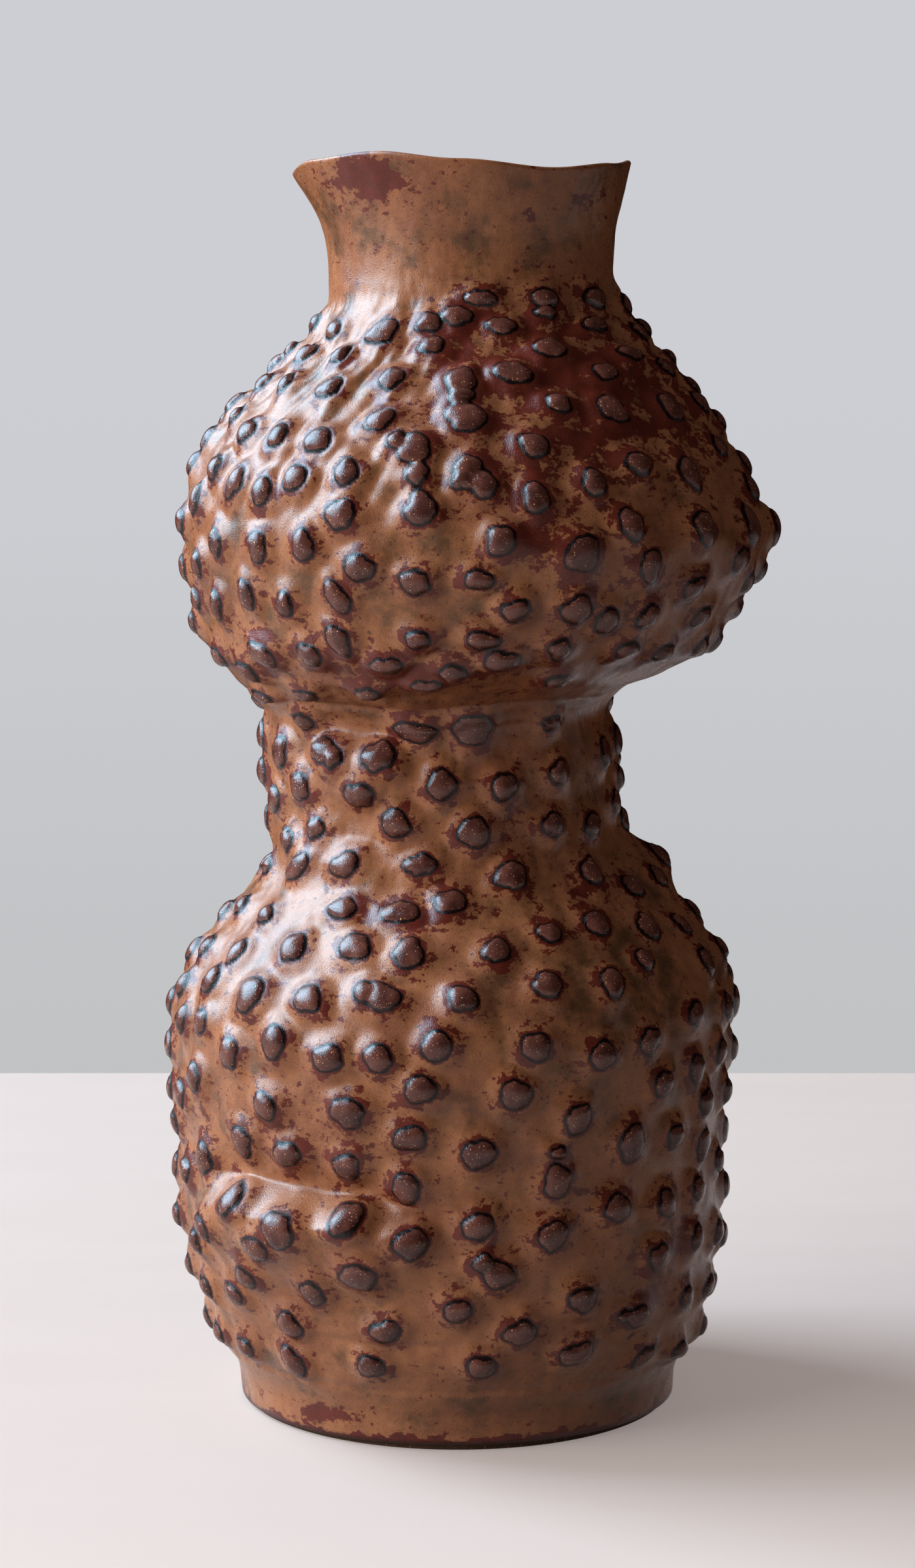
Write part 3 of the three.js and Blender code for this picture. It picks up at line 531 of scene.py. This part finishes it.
def square_to(points):
    """Unit directions square to a net that closes sideways."""
    sideways = np.roll(points, -1, axis=1) - np.roll(points, 1, axis=1)
    upward = np.gradient(points, axis=0)
    out = np.cross(sideways, upward)
    return out / np.linalg.norm(out, axis=2, keepdims=True)


skin_distance, skin_dome = cap_distance(skin_levels)
plain_wall = placed(AZIMUTHS[None, :], skin_levels[:, None])
skin_height = relief(skin_levels, skin_distance, skin_dome)
skin = plain_wall + square_to(plain_wall) * skin_height[:, :, None]
skin_square = square_to(skin)
print(f"{skin.shape[0]} rows of {COLUMNS} points, relief up to {skin_height.max():.1f} mm")

# %% [markdown]
# Now the clay itself. A section is a ring of clay, so it starts on the wheel: the loop that its
# wall makes when cut through is spun once round. Its points are then pushed to their places, up the
# outside, over the top seam and down the inside, as a potter's hands do it. Operators alone could
# not give hundreds of buds that all differ, so the points are moved in code.

# %% A ring of clay, shaped
WALL, NECK_WALL, LIP_WALL = 6.5, 5.0, 3.0
INNER_STEP = 8
GLAZED, BARE = 20.0, -9.0


def deselect():
    for piece in bpy.context.selected_objects:
        piece.select_set(False)


def thickness_at(height):
    thinned = WALL + (NECK_WALL - WALL) * smoothstep(height, SEAM_WIDEST, SEAM_NECK)
    wall = thinned + (LIP_WALL - thinned) * smoothstep(height, SEAM_NECK, TOP)
    slope = (radius_at(height + 1) - radius_at(height - 1)) / 2
    return wall * np.sqrt(1 + slope ** 2)


def inner_levels(low, high):
    return np.linspace(high, low, max(2, round((high - low) / INNER_STEP)) + 1)


def add_values(piece, name, values):
    layer = piece.data.attributes.new(name, "FLOAT", "POINT")
    layer.data.foreach_set("value", np.asarray(values, np.float32).ravel())


def column_by_column(net):
    """A net's values in the wheel's order: from the right-hand side round, each column upwards."""
    return np.swapaxes(np.roll(net, -COLUMNS // 4, axis=1), 0, 1)


def ring_of_clay(name, points, directions, distance, heights, above_edge=None):
    """A closed ring from a net of points, given row by row from the outside's foot."""
    if above_edge is None:
        above_edge = np.full(distance.shape, GLAZED)
    deselect()
    bpy.ops.mesh.primitive_circle_add(vertices=len(points), radius=0.01, location=(0, 0, 0))
    piece = bpy.context.active_object
    piece.name = piece.data.name = name
    places = (column_by_column(points) * MM).astype(np.float32)
    piece.data.vertices.foreach_set("co", places[0].ravel())
    wheel = piece.modifiers.new("wheel", "SCREW")
    wheel.steps = wheel.render_steps = COLUMNS
    bpy.ops.object.modifier_apply(modifier=wheel.name)
    piece.data.vertices.foreach_set("co", places.ravel())
    azimuths = column_by_column(AZIMUTHS[None, :])
    add_values(piece, "cap_distance", column_by_column(distance))
    add_values(piece, "maroon", patches(MAROON, azimuths, heights[None, :]))
    add_values(piece, "dark", patches(DARK, azimuths, heights[None, :]))
    add_values(piece, "above_edge", column_by_column(above_edge))
    piece.data.update()
    deselect()
    piece.select_set(True)
    bpy.ops.object.shade_smooth()
    squares = column_by_column(directions).reshape(-1, 3)
    piece.data.normals_split_custom_set_from_vertices(squares)
    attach(piece, "root")
    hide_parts(name.removesuffix("_clay"))
    print(f"{name}: {len(piece.data.polygons) * 2} triangles")
    return piece


def outside_of(name):
    start = FIRST[name]
    end = start + len(ROWS[name])
    return skin[start:end], skin_square[start:end], skin_distance[start:end]


def knobbed_section(name):
    outer, square, distance = outside_of(name)
    low, high = SPANS[name]
    levels = inner_levels(low, high)
    inner = placed(AZIMUTHS[None, :], levels[:, None], -thickness_at(levels)[:, None])
    points = np.vstack([outer, inner])
    directions = np.vstack([square, square_to(inner)])
    far = np.full((len(levels), COLUMNS), FAR)
    return ring_of_clay(name + "_clay", points, directions, np.vstack([distance, far]),
                        np.concatenate([ROWS[name], levels]))


clay = [knobbed_section(name) for name in SECTIONS]

# %% [markdown]
# The foot band stands on the table. Its lower edge was wiped clean of glaze and undercut, more so at
# the front, which leaves a thin line of bare, sandy clay above a dark gap; the glaze paints that clay
# and the undercut dark, as painted shade of the gap. The band is a ring like the others, with the
# underside and the undercut as extra rows, given as shares of the height of the glaze's edge. The
# first of them is not used itself, but gives the next its direction. An attribute tells the glaze how
# far above that edge each point lies.

# %% Foot band
EDGE_LOW, EDGE_MORE, EDGE_AT, EDGE_SPREAD = 1.5, 1.3, 12, 46
UNDERCUT_RISE = [0.0, 0.0, 0.1, 0.45, 0.8, 1.0]
UNDERCUT_INSET = [-3.0, -1.2, -1.1, -0.8, -0.3, -0.02]
WIPED_FALL = 3
SLAB_GAP = 0.25


def glaze_edge(azimuth):
    return EDGE_LOW + EDGE_MORE * np.exp(-(turn_between(azimuth, EDGE_AT) / EDGE_SPREAD) ** 2)


def foot_band():
    outer, square, distance = outside_of("foot_band")
    edge = glaze_edge(AZIMUTHS)[None, :]
    rise = np.array(UNDERCUT_RISE)[:, None] * edge
    inset = np.array(UNDERCUT_INSET)[:, None] * edge
    undercut = placed(AZIMUTHS[None, :], rise, inset)
    levels = np.array([SEAM_FOOT, SLAB_TOP + 6, SLAB_TOP + 1, 0.0])
    bore = SLAB_RADIUS + SLAB_GAP - wall_reach(AZIMUTHS[None, :], levels[:, None])
    inner = placed(AZIMUTHS[None, :], levels[:, None], bore)
    points = np.vstack([undercut[1:], outer, inner])
    directions = np.vstack([square_to(undercut)[1:], square, square_to(inner)])
    far = [np.full((count, COLUMNS), FAR) for count in (len(rise) - 1, len(levels))]
    wiped = np.minimum(rise[1:] - edge, 0) * WIPED_FALL
    glazed = ROWS["foot_band"][:, None] - edge
    heights = np.concatenate([rise[1:, 0], ROWS["foot_band"], levels])
    return ring_of_clay("foot_band_clay", points, directions, np.vstack([far[0], distance, far[1]]),
                        heights, np.vstack([wiped, glazed, np.full(far[1].shape, BARE)]))


clay.append(foot_band())

# %% [markdown]
# The collar was pulled thin on the wheel. It flares, and its lip is rounded and dips and rises as
# it goes round.

# %% Collar
def neck_collar():
    outer, square, distance = outside_of("neck_collar")
    bends = np.radians(np.arange(15, 180, 15))
    over = TOP - LIP_ROUND + LIP_ROUND * np.sin(bends)
    lip = placed(AZIMUTHS[None, :], over[:, None], (LIP_ROUND * np.cos(bends) - LIP_ROUND)[:, None])
    levels = inner_levels(SEAM_NECK, TOP - LIP_ROUND)
    near_lip = np.interp(levels, [TOP - LIP_THINS, TOP - LIP_ROUND], [0, 1])
    inset = thickness_at(levels) * (1 - near_lip) + 2 * LIP_ROUND * near_lip
    inner = placed(AZIMUTHS[None, :], levels[:, None], -inset[:, None])
    over_the_lip = np.vstack([outer[-2:], lip, inner])
    directions = np.vstack([square, square_to(over_the_lip)[2:]])
    points = np.vstack([outer, lip, inner])
    far = np.full((len(bends) + len(levels), COLUMNS), FAR)
    return ring_of_clay("neck_collar_clay", points, directions, np.vstack([distance, far]),
                        np.concatenate([ROWS["neck_collar"], over, levels]))


clay.append(neck_collar())

# %% [markdown]
# The floor is a disc of bare clay with its edges softened, and a thin coil is pressed into the
# corner between floor and wall. Both are simple turned shapes, so primitives do: a cylinder that
# is bevelled, and a torus whose outer and lower sides are pressed flat.

# %% Floor slab and floor coil
COIL_INSET, COIL_LIFT = 0.2, 0.1


def in_edit_mode(piece, work):
    bpy.context.view_layer.objects.active = piece
    piece.select_set(True)
    bpy.ops.object.mode_set(mode="EDIT")
    bpy.ops.mesh.select_all(action="SELECT")
    work()
    bpy.ops.object.mode_set(mode="OBJECT")


def floor_slab():
    deselect()
    bpy.ops.mesh.primitive_cylinder_add(vertices=128, radius=SLAB_RADIUS * MM, depth=SLAB_TOP * MM,
                                        location=(0, 0, SLAB_TOP * MM / 2))
    slab = bpy.context.active_object
    slab.name = slab.data.name = "base_slab_clay"
    bpy.ops.object.transform_apply(location=True, rotation=True, scale=True)
    bevel = slab.modifiers.new("softened edges", "BEVEL")
    bevel.width = 0.8 * MM
    bevel.segments = 3
    bpy.ops.object.modifier_apply(modifier=bevel.name)
    bpy.ops.object.shade_smooth_by_angle(angle=math.radians(35))
    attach(slab, "root")
    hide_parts("base_slab")
    print("base_slab_clay:", len(slab.data.polygons), "faces")
    return slab


def floor_coil():
    deselect()
    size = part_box("floor_coil")[1].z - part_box("floor_coil")[0].z
    reach = (SLAB_RADIUS - COIL_INSET) * MM
    bottom = (SLAB_TOP + COIL_LIFT) * MM
    bpy.ops.mesh.primitive_torus_add(major_segments=128, minor_segments=24, major_radius=reach,
                                     minor_radius=size, location=(0, 0, bottom))
    coil = bpy.context.active_object
    coil.name = coil.data.name = "floor_coil_clay"
    bpy.ops.object.transform_apply(location=True, rotation=True, scale=True)
    for vertex in coil.data.vertices:
        pressed = min(1, reach / math.hypot(vertex.co.x, vertex.co.y))
        vertex.co.x *= pressed
        vertex.co.y *= pressed
        vertex.co.z = max(vertex.co.z, bottom)

    def tidy():
        bpy.ops.mesh.remove_doubles(threshold=0.05 * MM)
        bpy.ops.mesh.normals_make_consistent(inside=False)

    in_edit_mode(coil, tidy)
    # The coil in the floor's corner gets extra olive clouds, which are partly painted shade.
    for name, value in (("cap_distance", FAR), ("maroon", 0), ("dark", 1), ("above_edge", GLAZED)):
        add_values(coil, name, np.full(len(coil.data.vertices), value))
    bpy.ops.object.shade_smooth_by_angle(angle=math.radians(50))
    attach(coil, "root")
    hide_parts("floor_coil")
    print("floor_coil_clay:", len(coil.data.polygons), "faces")
    return coil


slab = floor_slab()
clay.append(floor_coil())

# %% [markdown]
# The glaze. A small helper adds shader nodes and wires them, so that a finish reads as a recipe.
# Patterns are laid on the object's own coordinates in metres, so a noise scale of 100 makes
# features about a centimetre across.

# %% Helpers for the finishes
def linear(red, green, blue):
    """A colour as picked on a screen, 0 to 255, in the renderer's linear light."""
    def part(value):
        value /= 255
        return value / 12.92 if value <= 0.04045 else ((value + 0.055) / 1.055) ** 2.4
    return (part(red), part(green), part(blue), 1)


class Recipe:
    """Adds nodes to one material, or to the world, and wires them."""

    def __init__(self, owner, shader="Principled BSDF", place="Object"):
        self.owner = owner
        owner.use_nodes = True
        self.tree = owner.node_tree
        self.shader = self.tree.nodes[shader]
        self.place = self.add("ShaderNodeTexCoord").outputs[place]

    def add(self, kind, **settings):
        node = self.tree.nodes.new(kind)
        for key, value in settings.items():
            setattr(node, key, value)
        return node

    def wire(self, source, socket):
        if isinstance(source, bpy.types.NodeSocket):
            self.tree.links.new(source, socket)
        else:
            socket.default_value = source

    def attribute(self, name):
        return self.add("ShaderNodeAttribute", attribute_name=name).outputs["Fac"]

    def stretched(self, scale):
        node = self.add("ShaderNodeMapping")
        self.wire(self.place, node.inputs["Vector"])
        node.inputs["Scale"].default_value = scale
        return node.outputs["Vector"]

    def noise(self, scale, detail=3, roughness=0.55, place=None):
        node = self.add("ShaderNodeTexNoise")
        self.wire(place or self.place, node.inputs["Vector"])
        node.inputs["Scale"].default_value = scale
        node.inputs["Detail"].default_value = detail
        node.inputs["Roughness"].default_value = roughness
        return node.outputs["Fac"]

    def math(self, operation, first, second):
        node = self.add("ShaderNodeMath", operation=operation)
        self.wire(first, node.inputs[0])
        self.wire(second, node.inputs[1])
        return node.outputs[0]

    def times(self, first, second):
        return self.math("MULTIPLY", first, second)

    def plus(self, first, second):
        return self.math("ADD", first, second)

    def minus(self, first, second):
        return self.math("SUBTRACT", first, second)

    def larger(self, first, second):
        return self.math("MAXIMUM", first, second)

    def ramp(self, value, low, high):
        """0 below low, 1 above high and a smooth rise between; or falling, if high is less."""
        node = self.add("ShaderNodeMapRange", interpolation_type="SMOOTHSTEP")
        self.wire(value, node.inputs["Value"])
        rising = high > low
        node.inputs["From Min"].default_value = low if rising else high
        node.inputs["From Max"].default_value = high if rising else low
        node.inputs["To Min"].default_value = 0 if rising else 1
        node.inputs["To Max"].default_value = 1 if rising else 0
        return node.outputs["Result"]

    def mix(self, share, first, second):
        node = self.add("ShaderNodeMix", data_type="RGBA")
        self.wire(share, node.inputs["Factor"])
        self.wire(first, node.inputs[6])
        self.wire(second, node.inputs[7])
        return node.outputs[2]

    def bump(self, height, strength, distance, under=None):
        node = self.add("ShaderNodeBump")
        node.inputs["Strength"].default_value = strength
        node.inputs["Distance"].default_value = distance
        self.wire(height, node.inputs["Height"])
        if under is not None:
            self.wire(under, node.inputs["Normal"])
        return node.outputs["Normal"]


# %% [markdown]
# The recipe, from the ground up. Tan varies to a redder tan and to olive in clouds that keep away from
# the caps, and fine dark specks of iron lie in it; the olive is partly the glaze's own colour and
# partly painted shade, heavier in the hollows between the buds. Maroon comes next: a ragged halo round
# each cap, and blotches and crumbs that thicken where the attribute says so, all drawn out sideways.
# Then the caps, mauve-brown with tiny bright crystals, and the blue-black line that runs along a cap's
# edge, wandering a little. At the foot the glaze ends in maroon above a strip that was wiped bare;
# that strip and the undercut below it are bare sand painted dark, as painted shade of the gap under
# the foot. The gloss is uneven: sharper on the caps, with a fine glitter all over, and dull on the
# bare strip. A fine grain and a slow wash in the surface break it up.

# %% Glaze
TAN = linear(170, 115, 79)
RED_TAN = linear(139, 89, 65)
# Olive is partly the glaze's own colour and partly painted shade in the hollows.
OLIVE_AND_SHADE = linear(86, 63, 42)
MAROON_RED = linear(102, 37, 28)
SPECK = linear(48, 26, 24)
CAP_BROWN = linear(112, 70, 62)
CAP_DARK = linear(81, 48, 45)
EDGE_BLACK = linear(15, 8, 10)
CRYSTAL = linear(232, 184, 150)
# Sand painted dark: bare clay with painted shade of the gap under the foot.
SAND_IN_SHADE = linear(66, 46, 36)
SAND_GRAIN = linear(190, 150, 110)
HALO_WIDE, HALO_RAGGED = 3.0, 3.4
LINE_WANDER = 2.0
CRYSTALS_PER_METRE = 1500


def glaze():
    recipe = Recipe(bpy.data.materials.new("tan glaze breaking to maroon"))
    distance = recipe.attribute("cap_distance")
    above_edge = recipe.attribute("above_edge")
    streaks = recipe.stretched((1, 1, 1.4))
    mottle = recipe.ramp(recipe.noise(340, detail=5, roughness=0.7), 0.36, 0.68)
    broad = recipe.ramp(recipe.noise(46, detail=3), 0.4, 0.66)
    ground = recipe.mix(recipe.times(recipe.plus(mottle, broad), 0.5), TAN, RED_TAN)
    # Olive clouds, partly painted shade: they thicken away from the caps, in the hollows between the
    # buds.
    cloud = recipe.plus(recipe.noise(62, detail=5, roughness=0.65),
                        recipe.times(recipe.attribute("dark"), 0.16))
    away = recipe.ramp(distance, 1.5, 6)
    olive_and_shade = recipe.times(recipe.ramp(cloud, 0.5, 0.72), recipe.plus(recipe.times(away, 0.6), 0.25))
    ground = recipe.mix(olive_and_shade, ground, OLIVE_AND_SHADE)
    specks = recipe.ramp(recipe.noise(560, detail=3), 0.66, 0.72)
    grit = recipe.ramp(recipe.noise(1400, detail=2), 0.62, 0.72)
    specks = recipe.larger(specks, recipe.times(grit, 0.75))
    ground = recipe.mix(recipe.times(specks, 0.7), ground, SPECK)

    wide = recipe.times(recipe.ramp(recipe.noise(160, detail=3), 0.5, 0.7), HALO_WIDE)
    ragged = recipe.noise(480, detail=5, roughness=0.7, place=streaks)
    ragged = recipe.times(ragged, HALO_RAGGED)
    halo_edge = recipe.minus(distance, recipe.plus(wide, ragged))
    halo = recipe.ramp(halo_edge, -0.55, -0.8)
    blotch = recipe.plus(recipe.noise(105, detail=6, roughness=0.66, place=streaks),
                         recipe.times(recipe.attribute("maroon"), 0.19))
    near = recipe.times(recipe.ramp(distance, 7, 0), 0.07)
    blotch = recipe.ramp(recipe.plus(blotch, near), 0.645, 0.665)
    crumbs = recipe.plus(recipe.noise(250, detail=6, roughness=0.74, place=streaks),
                         recipe.times(recipe.attribute("maroon"), 0.09))
    crumbs = recipe.ramp(recipe.plus(crumbs, near), 0.612, 0.632)
    maroon = recipe.larger(halo, recipe.larger(blotch, crumbs))
    deep = recipe.ramp(recipe.noise(210, detail=4), 0.35, 0.75)
    maroon_tint = recipe.mix(recipe.times(deep, 0.4), MAROON_RED, SPECK)
    colour = recipe.mix(recipe.times(maroon, 0.95), ground, maroon_tint)

    wander = recipe.minus(recipe.noise(330, detail=4), 0.5)
    rim = recipe.plus(distance, recipe.times(wander, LINE_WANDER))
    line = recipe.times(recipe.ramp(rim, -0.6, -0.25), recipe.ramp(rim, 0.7, 0.3))
    on_cap = recipe.ramp(rim, 0.1, -0.3)
    cap = recipe.mix(recipe.ramp(recipe.noise(170, detail=3), 0.35, 0.7), CAP_BROWN, CAP_DARK)
    crystals = recipe.add("ShaderNodeTexVoronoi", feature="F1")
    recipe.wire(recipe.place, crystals.inputs["Vector"])
    crystals.inputs["Scale"].default_value = CRYSTALS_PER_METRE
    lot = recipe.add("ShaderNodeSeparateColor")
    recipe.wire(crystals.outputs["Color"], lot.inputs[0])
    grown = recipe.minus(crystals.outputs["Distance"], recipe.times(lot.outputs["Green"], 0.24))
    bright = recipe.ramp(grown, 0.2, 0.02)
    bright = recipe.times(bright, recipe.ramp(lot.outputs["Red"], 0.4, 1.15))
    cap = recipe.mix(bright, cap, CRYSTAL)
    colour = recipe.mix(on_cap, colour, cap)
    colour = recipe.mix(recipe.times(line, 0.96), colour, EDGE_BLACK)

    creep = recipe.ramp(recipe.noise(140, detail=5, place=streaks), 0.35, 0.8)
    low = recipe.minus(above_edge, recipe.times(creep, 5))
    colour = recipe.mix(recipe.ramp(low, 0.7, 0.3), colour, maroon_tint)
    # The wiped strip and the undercut are painted dark sand, as painted shade of the gap under the
    # foot.
    wiped = recipe.ramp(above_edge, 0, -0.5)
    colour = recipe.mix(wiped, colour, recipe.mix(bright, SAND_IN_SHADE, SAND_GRAIN))
    recipe.wire(colour, recipe.shader.inputs["Base Color"])

    satin = recipe.plus(recipe.times(recipe.noise(110, detail=5), 0.26), 0.08)
    glitter = recipe.ramp(recipe.noise(2400, detail=1), 0.35, 0.65)
    satin = recipe.plus(satin, recipe.times(glitter, 0.18))
    satin = recipe.minus(satin, recipe.times(on_cap, 0.16))
    satin = recipe.plus(satin, recipe.times(line, 0.1))
    satin = recipe.plus(satin, recipe.times(wiped, 0.5))
    recipe.wire(satin, recipe.shader.inputs["Roughness"])
    recipe.shader.inputs["IOR"].default_value = 1.42
    grain = recipe.bump(recipe.noise(2600, detail=1), 0.7, 0.00015)
    wash = recipe.bump(recipe.noise(150, detail=3, roughness=0.5), 0.12, 0.001, under=grain)
    recipe.wire(wash, recipe.shader.inputs["Normal"])
    return recipe.owner


# %% [markdown]
# Bare stoneware is matt and grainy, with sand in it. It is the finish of the floor slab, so it
# shows underneath, and deep down inside.

# %% Bare clay
CLAY_PALE = linear(150, 118, 92)
CLAY_DARK = linear(122, 92, 70)
CLAY_SAND = linear(86, 66, 54)


def bare_clay():
    recipe = Recipe(bpy.data.materials.new("bare stoneware"))
    grain = recipe.noise(900, detail=4, roughness=0.7)
    tone = recipe.mix(recipe.ramp(recipe.noise(45), 0.35, 0.7), CLAY_PALE, CLAY_DARK)
    tone = recipe.mix(recipe.ramp(grain, 0.62, 0.72), tone, CLAY_SAND)
    recipe.wire(tone, recipe.shader.inputs["Base Color"])
    recipe.shader.inputs["Roughness"].default_value = 0.9
    recipe.wire(recipe.bump(grain, 0.5, 0.0005), recipe.shader.inputs["Normal"])
    return recipe.owner


def cover(pieces, material):
    for piece in pieces:
        piece.data.materials.clear()
        piece.data.materials.append(material)


glaze_material, clay_material = glaze(), bare_clay()
cover(clay, glaze_material)
cover([slab], clay_material)
cover(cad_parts.values(), glaze_material)
print("finishes:", glaze_material.name, "and", clay_material.name)

# %% [markdown]
# The studio: a pale table top whose far edge shows behind the vase, and a pale grey room round it,
# which is the world as the camera sees it. The light that the two throw back on the vase is
# weaker and warmer than they look, as it is in a room where the far walls are dim. The table takes
# the vase's shadow.

# %% Table and room
def seen(recipe):
    """1 for rays that end in the picture, straight or by way of gloss or glass."""
    path = recipe.add("ShaderNodeLightPath").outputs
    by_gloss = recipe.larger(path["Is Glossy Ray"], path["Is Transmission Ray"])
    return recipe.larger(path["Is Camera Ray"], by_gloss)


TABLE_EDGE = 0.511
TABLE_WIDTH, TABLE_DEPTH = 6, 3
TABLE_PALE, TABLE_GREY = linear(197, 194, 194), linear(189, 185, 184)
# Painted light: the tone of the table's front is lighter than the rest.
TABLE_FRONT_PAINTED_LIGHT = linear(204, 197, 195)
TABLE_BOUNCE = linear(108, 89, 78)
TABLE_GLOW = linear(132, 123, 120)
ROOM_LOW, ROOM_HIGH = linear(193, 194, 196), linear(205, 206, 211)
ROOM_BOUNCE = (0.18, 0.15, 0.132, 1)


def table_top():
    recipe = Recipe(bpy.data.materials.new("pale table"))
    streaks = recipe.stretched((1, 3.5, 1))
    tone = recipe.mix(recipe.noise(7, detail=5, place=streaks), TABLE_PALE, TABLE_GREY)
    reach = recipe.add("ShaderNodeSeparateXYZ")
    recipe.wire(recipe.place, reach.inputs[0])
    # Painted light: the table is made lighter towards the front, where the window's light falls off.
    tone = recipe.mix(recipe.ramp(reach.outputs["Y"], 0, -0.3), tone, TABLE_FRONT_PAINTED_LIGHT)
    tone = recipe.mix(seen(recipe), TABLE_BOUNCE, tone)
    recipe.wire(tone, recipe.shader.inputs["Base Color"])
    recipe.wire(TABLE_GLOW, recipe.shader.inputs["Emission Color"])
    recipe.wire(seen(recipe), recipe.shader.inputs["Emission Strength"])
    recipe.shader.inputs["Roughness"].default_value = 0.8
    recipe.shader.inputs["Specular IOR Level"].default_value = 0
    return recipe.owner


deselect()
bpy.ops.mesh.primitive_plane_add(size=1)
table = bpy.context.active_object
table.name = "table"
table.scale = (TABLE_WIDTH, TABLE_DEPTH, 1)
table.location = (0, TABLE_EDGE - TABLE_DEPTH / 2, 0)
bpy.ops.object.transform_apply(location=True, rotation=True, scale=True)
table.data.materials.append(table_top())


def pale_room():
    recipe = Recipe(bpy.data.worlds.new("pale room"), "Background", "Generated")
    height = recipe.add("ShaderNodeSeparateXYZ")
    recipe.wire(recipe.place, height.inputs[0])
    tone = recipe.mix(recipe.ramp(height.outputs["Z"], -0.22, 0.0), ROOM_LOW, ROOM_HIGH)
    recipe.wire(recipe.mix(seen(recipe), ROOM_BOUNCE, tone), recipe.shader.inputs["Color"])
    recipe.owner.cycles_visibility.glossy = False
    return recipe.owner


bpy.context.scene.world = pale_room()
print("table edge", TABLE_EDGE, "m behind the vase")

# %% [markdown]
# The light is that of one big window above and to the left, soft and a little blue, and of the
# room, warmer, from the left front. The sheen that the window leaves in the glaze comes from two
# lamps of its own, which only gloss sees, while gloss doesn't see the other two. The camera stands
# where the photographer's stood: 1.2 m away, level with the neck of the vase and tilted down.

# %% Light and camera
MIDDLE = Vector((0, 0, 0.2))
WINDOW_BLUE = (0.82, 0.9, 1.0)
SHEEN_BLUE = (0.48, 0.78, 1.0)
ROOM_WARM = (1.0, 0.95, 0.89)


def area_light(name, place, size, power, colour):
    lamp = bpy.data.lights.new(name, "AREA")
    lamp.shape = "SQUARE"
    lamp.size = size
    lamp.energy = power
    lamp.color = colour
    holder = bpy.data.objects.new(name, lamp)
    bpy.context.scene.collection.objects.link(holder)
    holder.location = place
    holder.rotation_euler = (MIDDLE - Vector(place)).to_track_quat("-Z", "Y").to_euler()
    return holder


window = area_light("window", (-2.2, 0.7, 2.1), 1.75, 112, WINDOW_BLUE)
window.visible_glossy = False
window_sheen = area_light("window sheen", (-2.2, 0.92, 2.1), 2.6, 265, SHEEN_BLUE)
window_sheen.visible_diffuse = False
wide_sheen = area_light("wide sheen", (-1.6, -0.25, 1.15), 1.5, 64, SHEEN_BLUE)
wide_sheen.visible_diffuse = False
room = area_light("room", (-2.1, -0.95, 0.6), 2.0, 68, ROOM_WARM)
room.visible_glossy = False

CAMERA_PLACE = (0, -1.189, 0.350)
CAMERA_TILT = 7.18
LENS = 85.23
lens = bpy.data.cameras.new("camera")
lens.lens = LENS
lens.sensor_width = 36
camera = bpy.data.objects.new("camera", lens)
bpy.context.scene.collection.objects.link(camera)
camera.location = CAMERA_PLACE
camera.rotation_euler = (math.radians(90 - CAMERA_TILT), 0, 0)
bpy.context.scene.camera = camera
bpy.context.scene.view_settings.view_transform = "Standard"
print("camera", CAMERA_PLACE, "tilted down", CAMERA_TILT, "degrees")
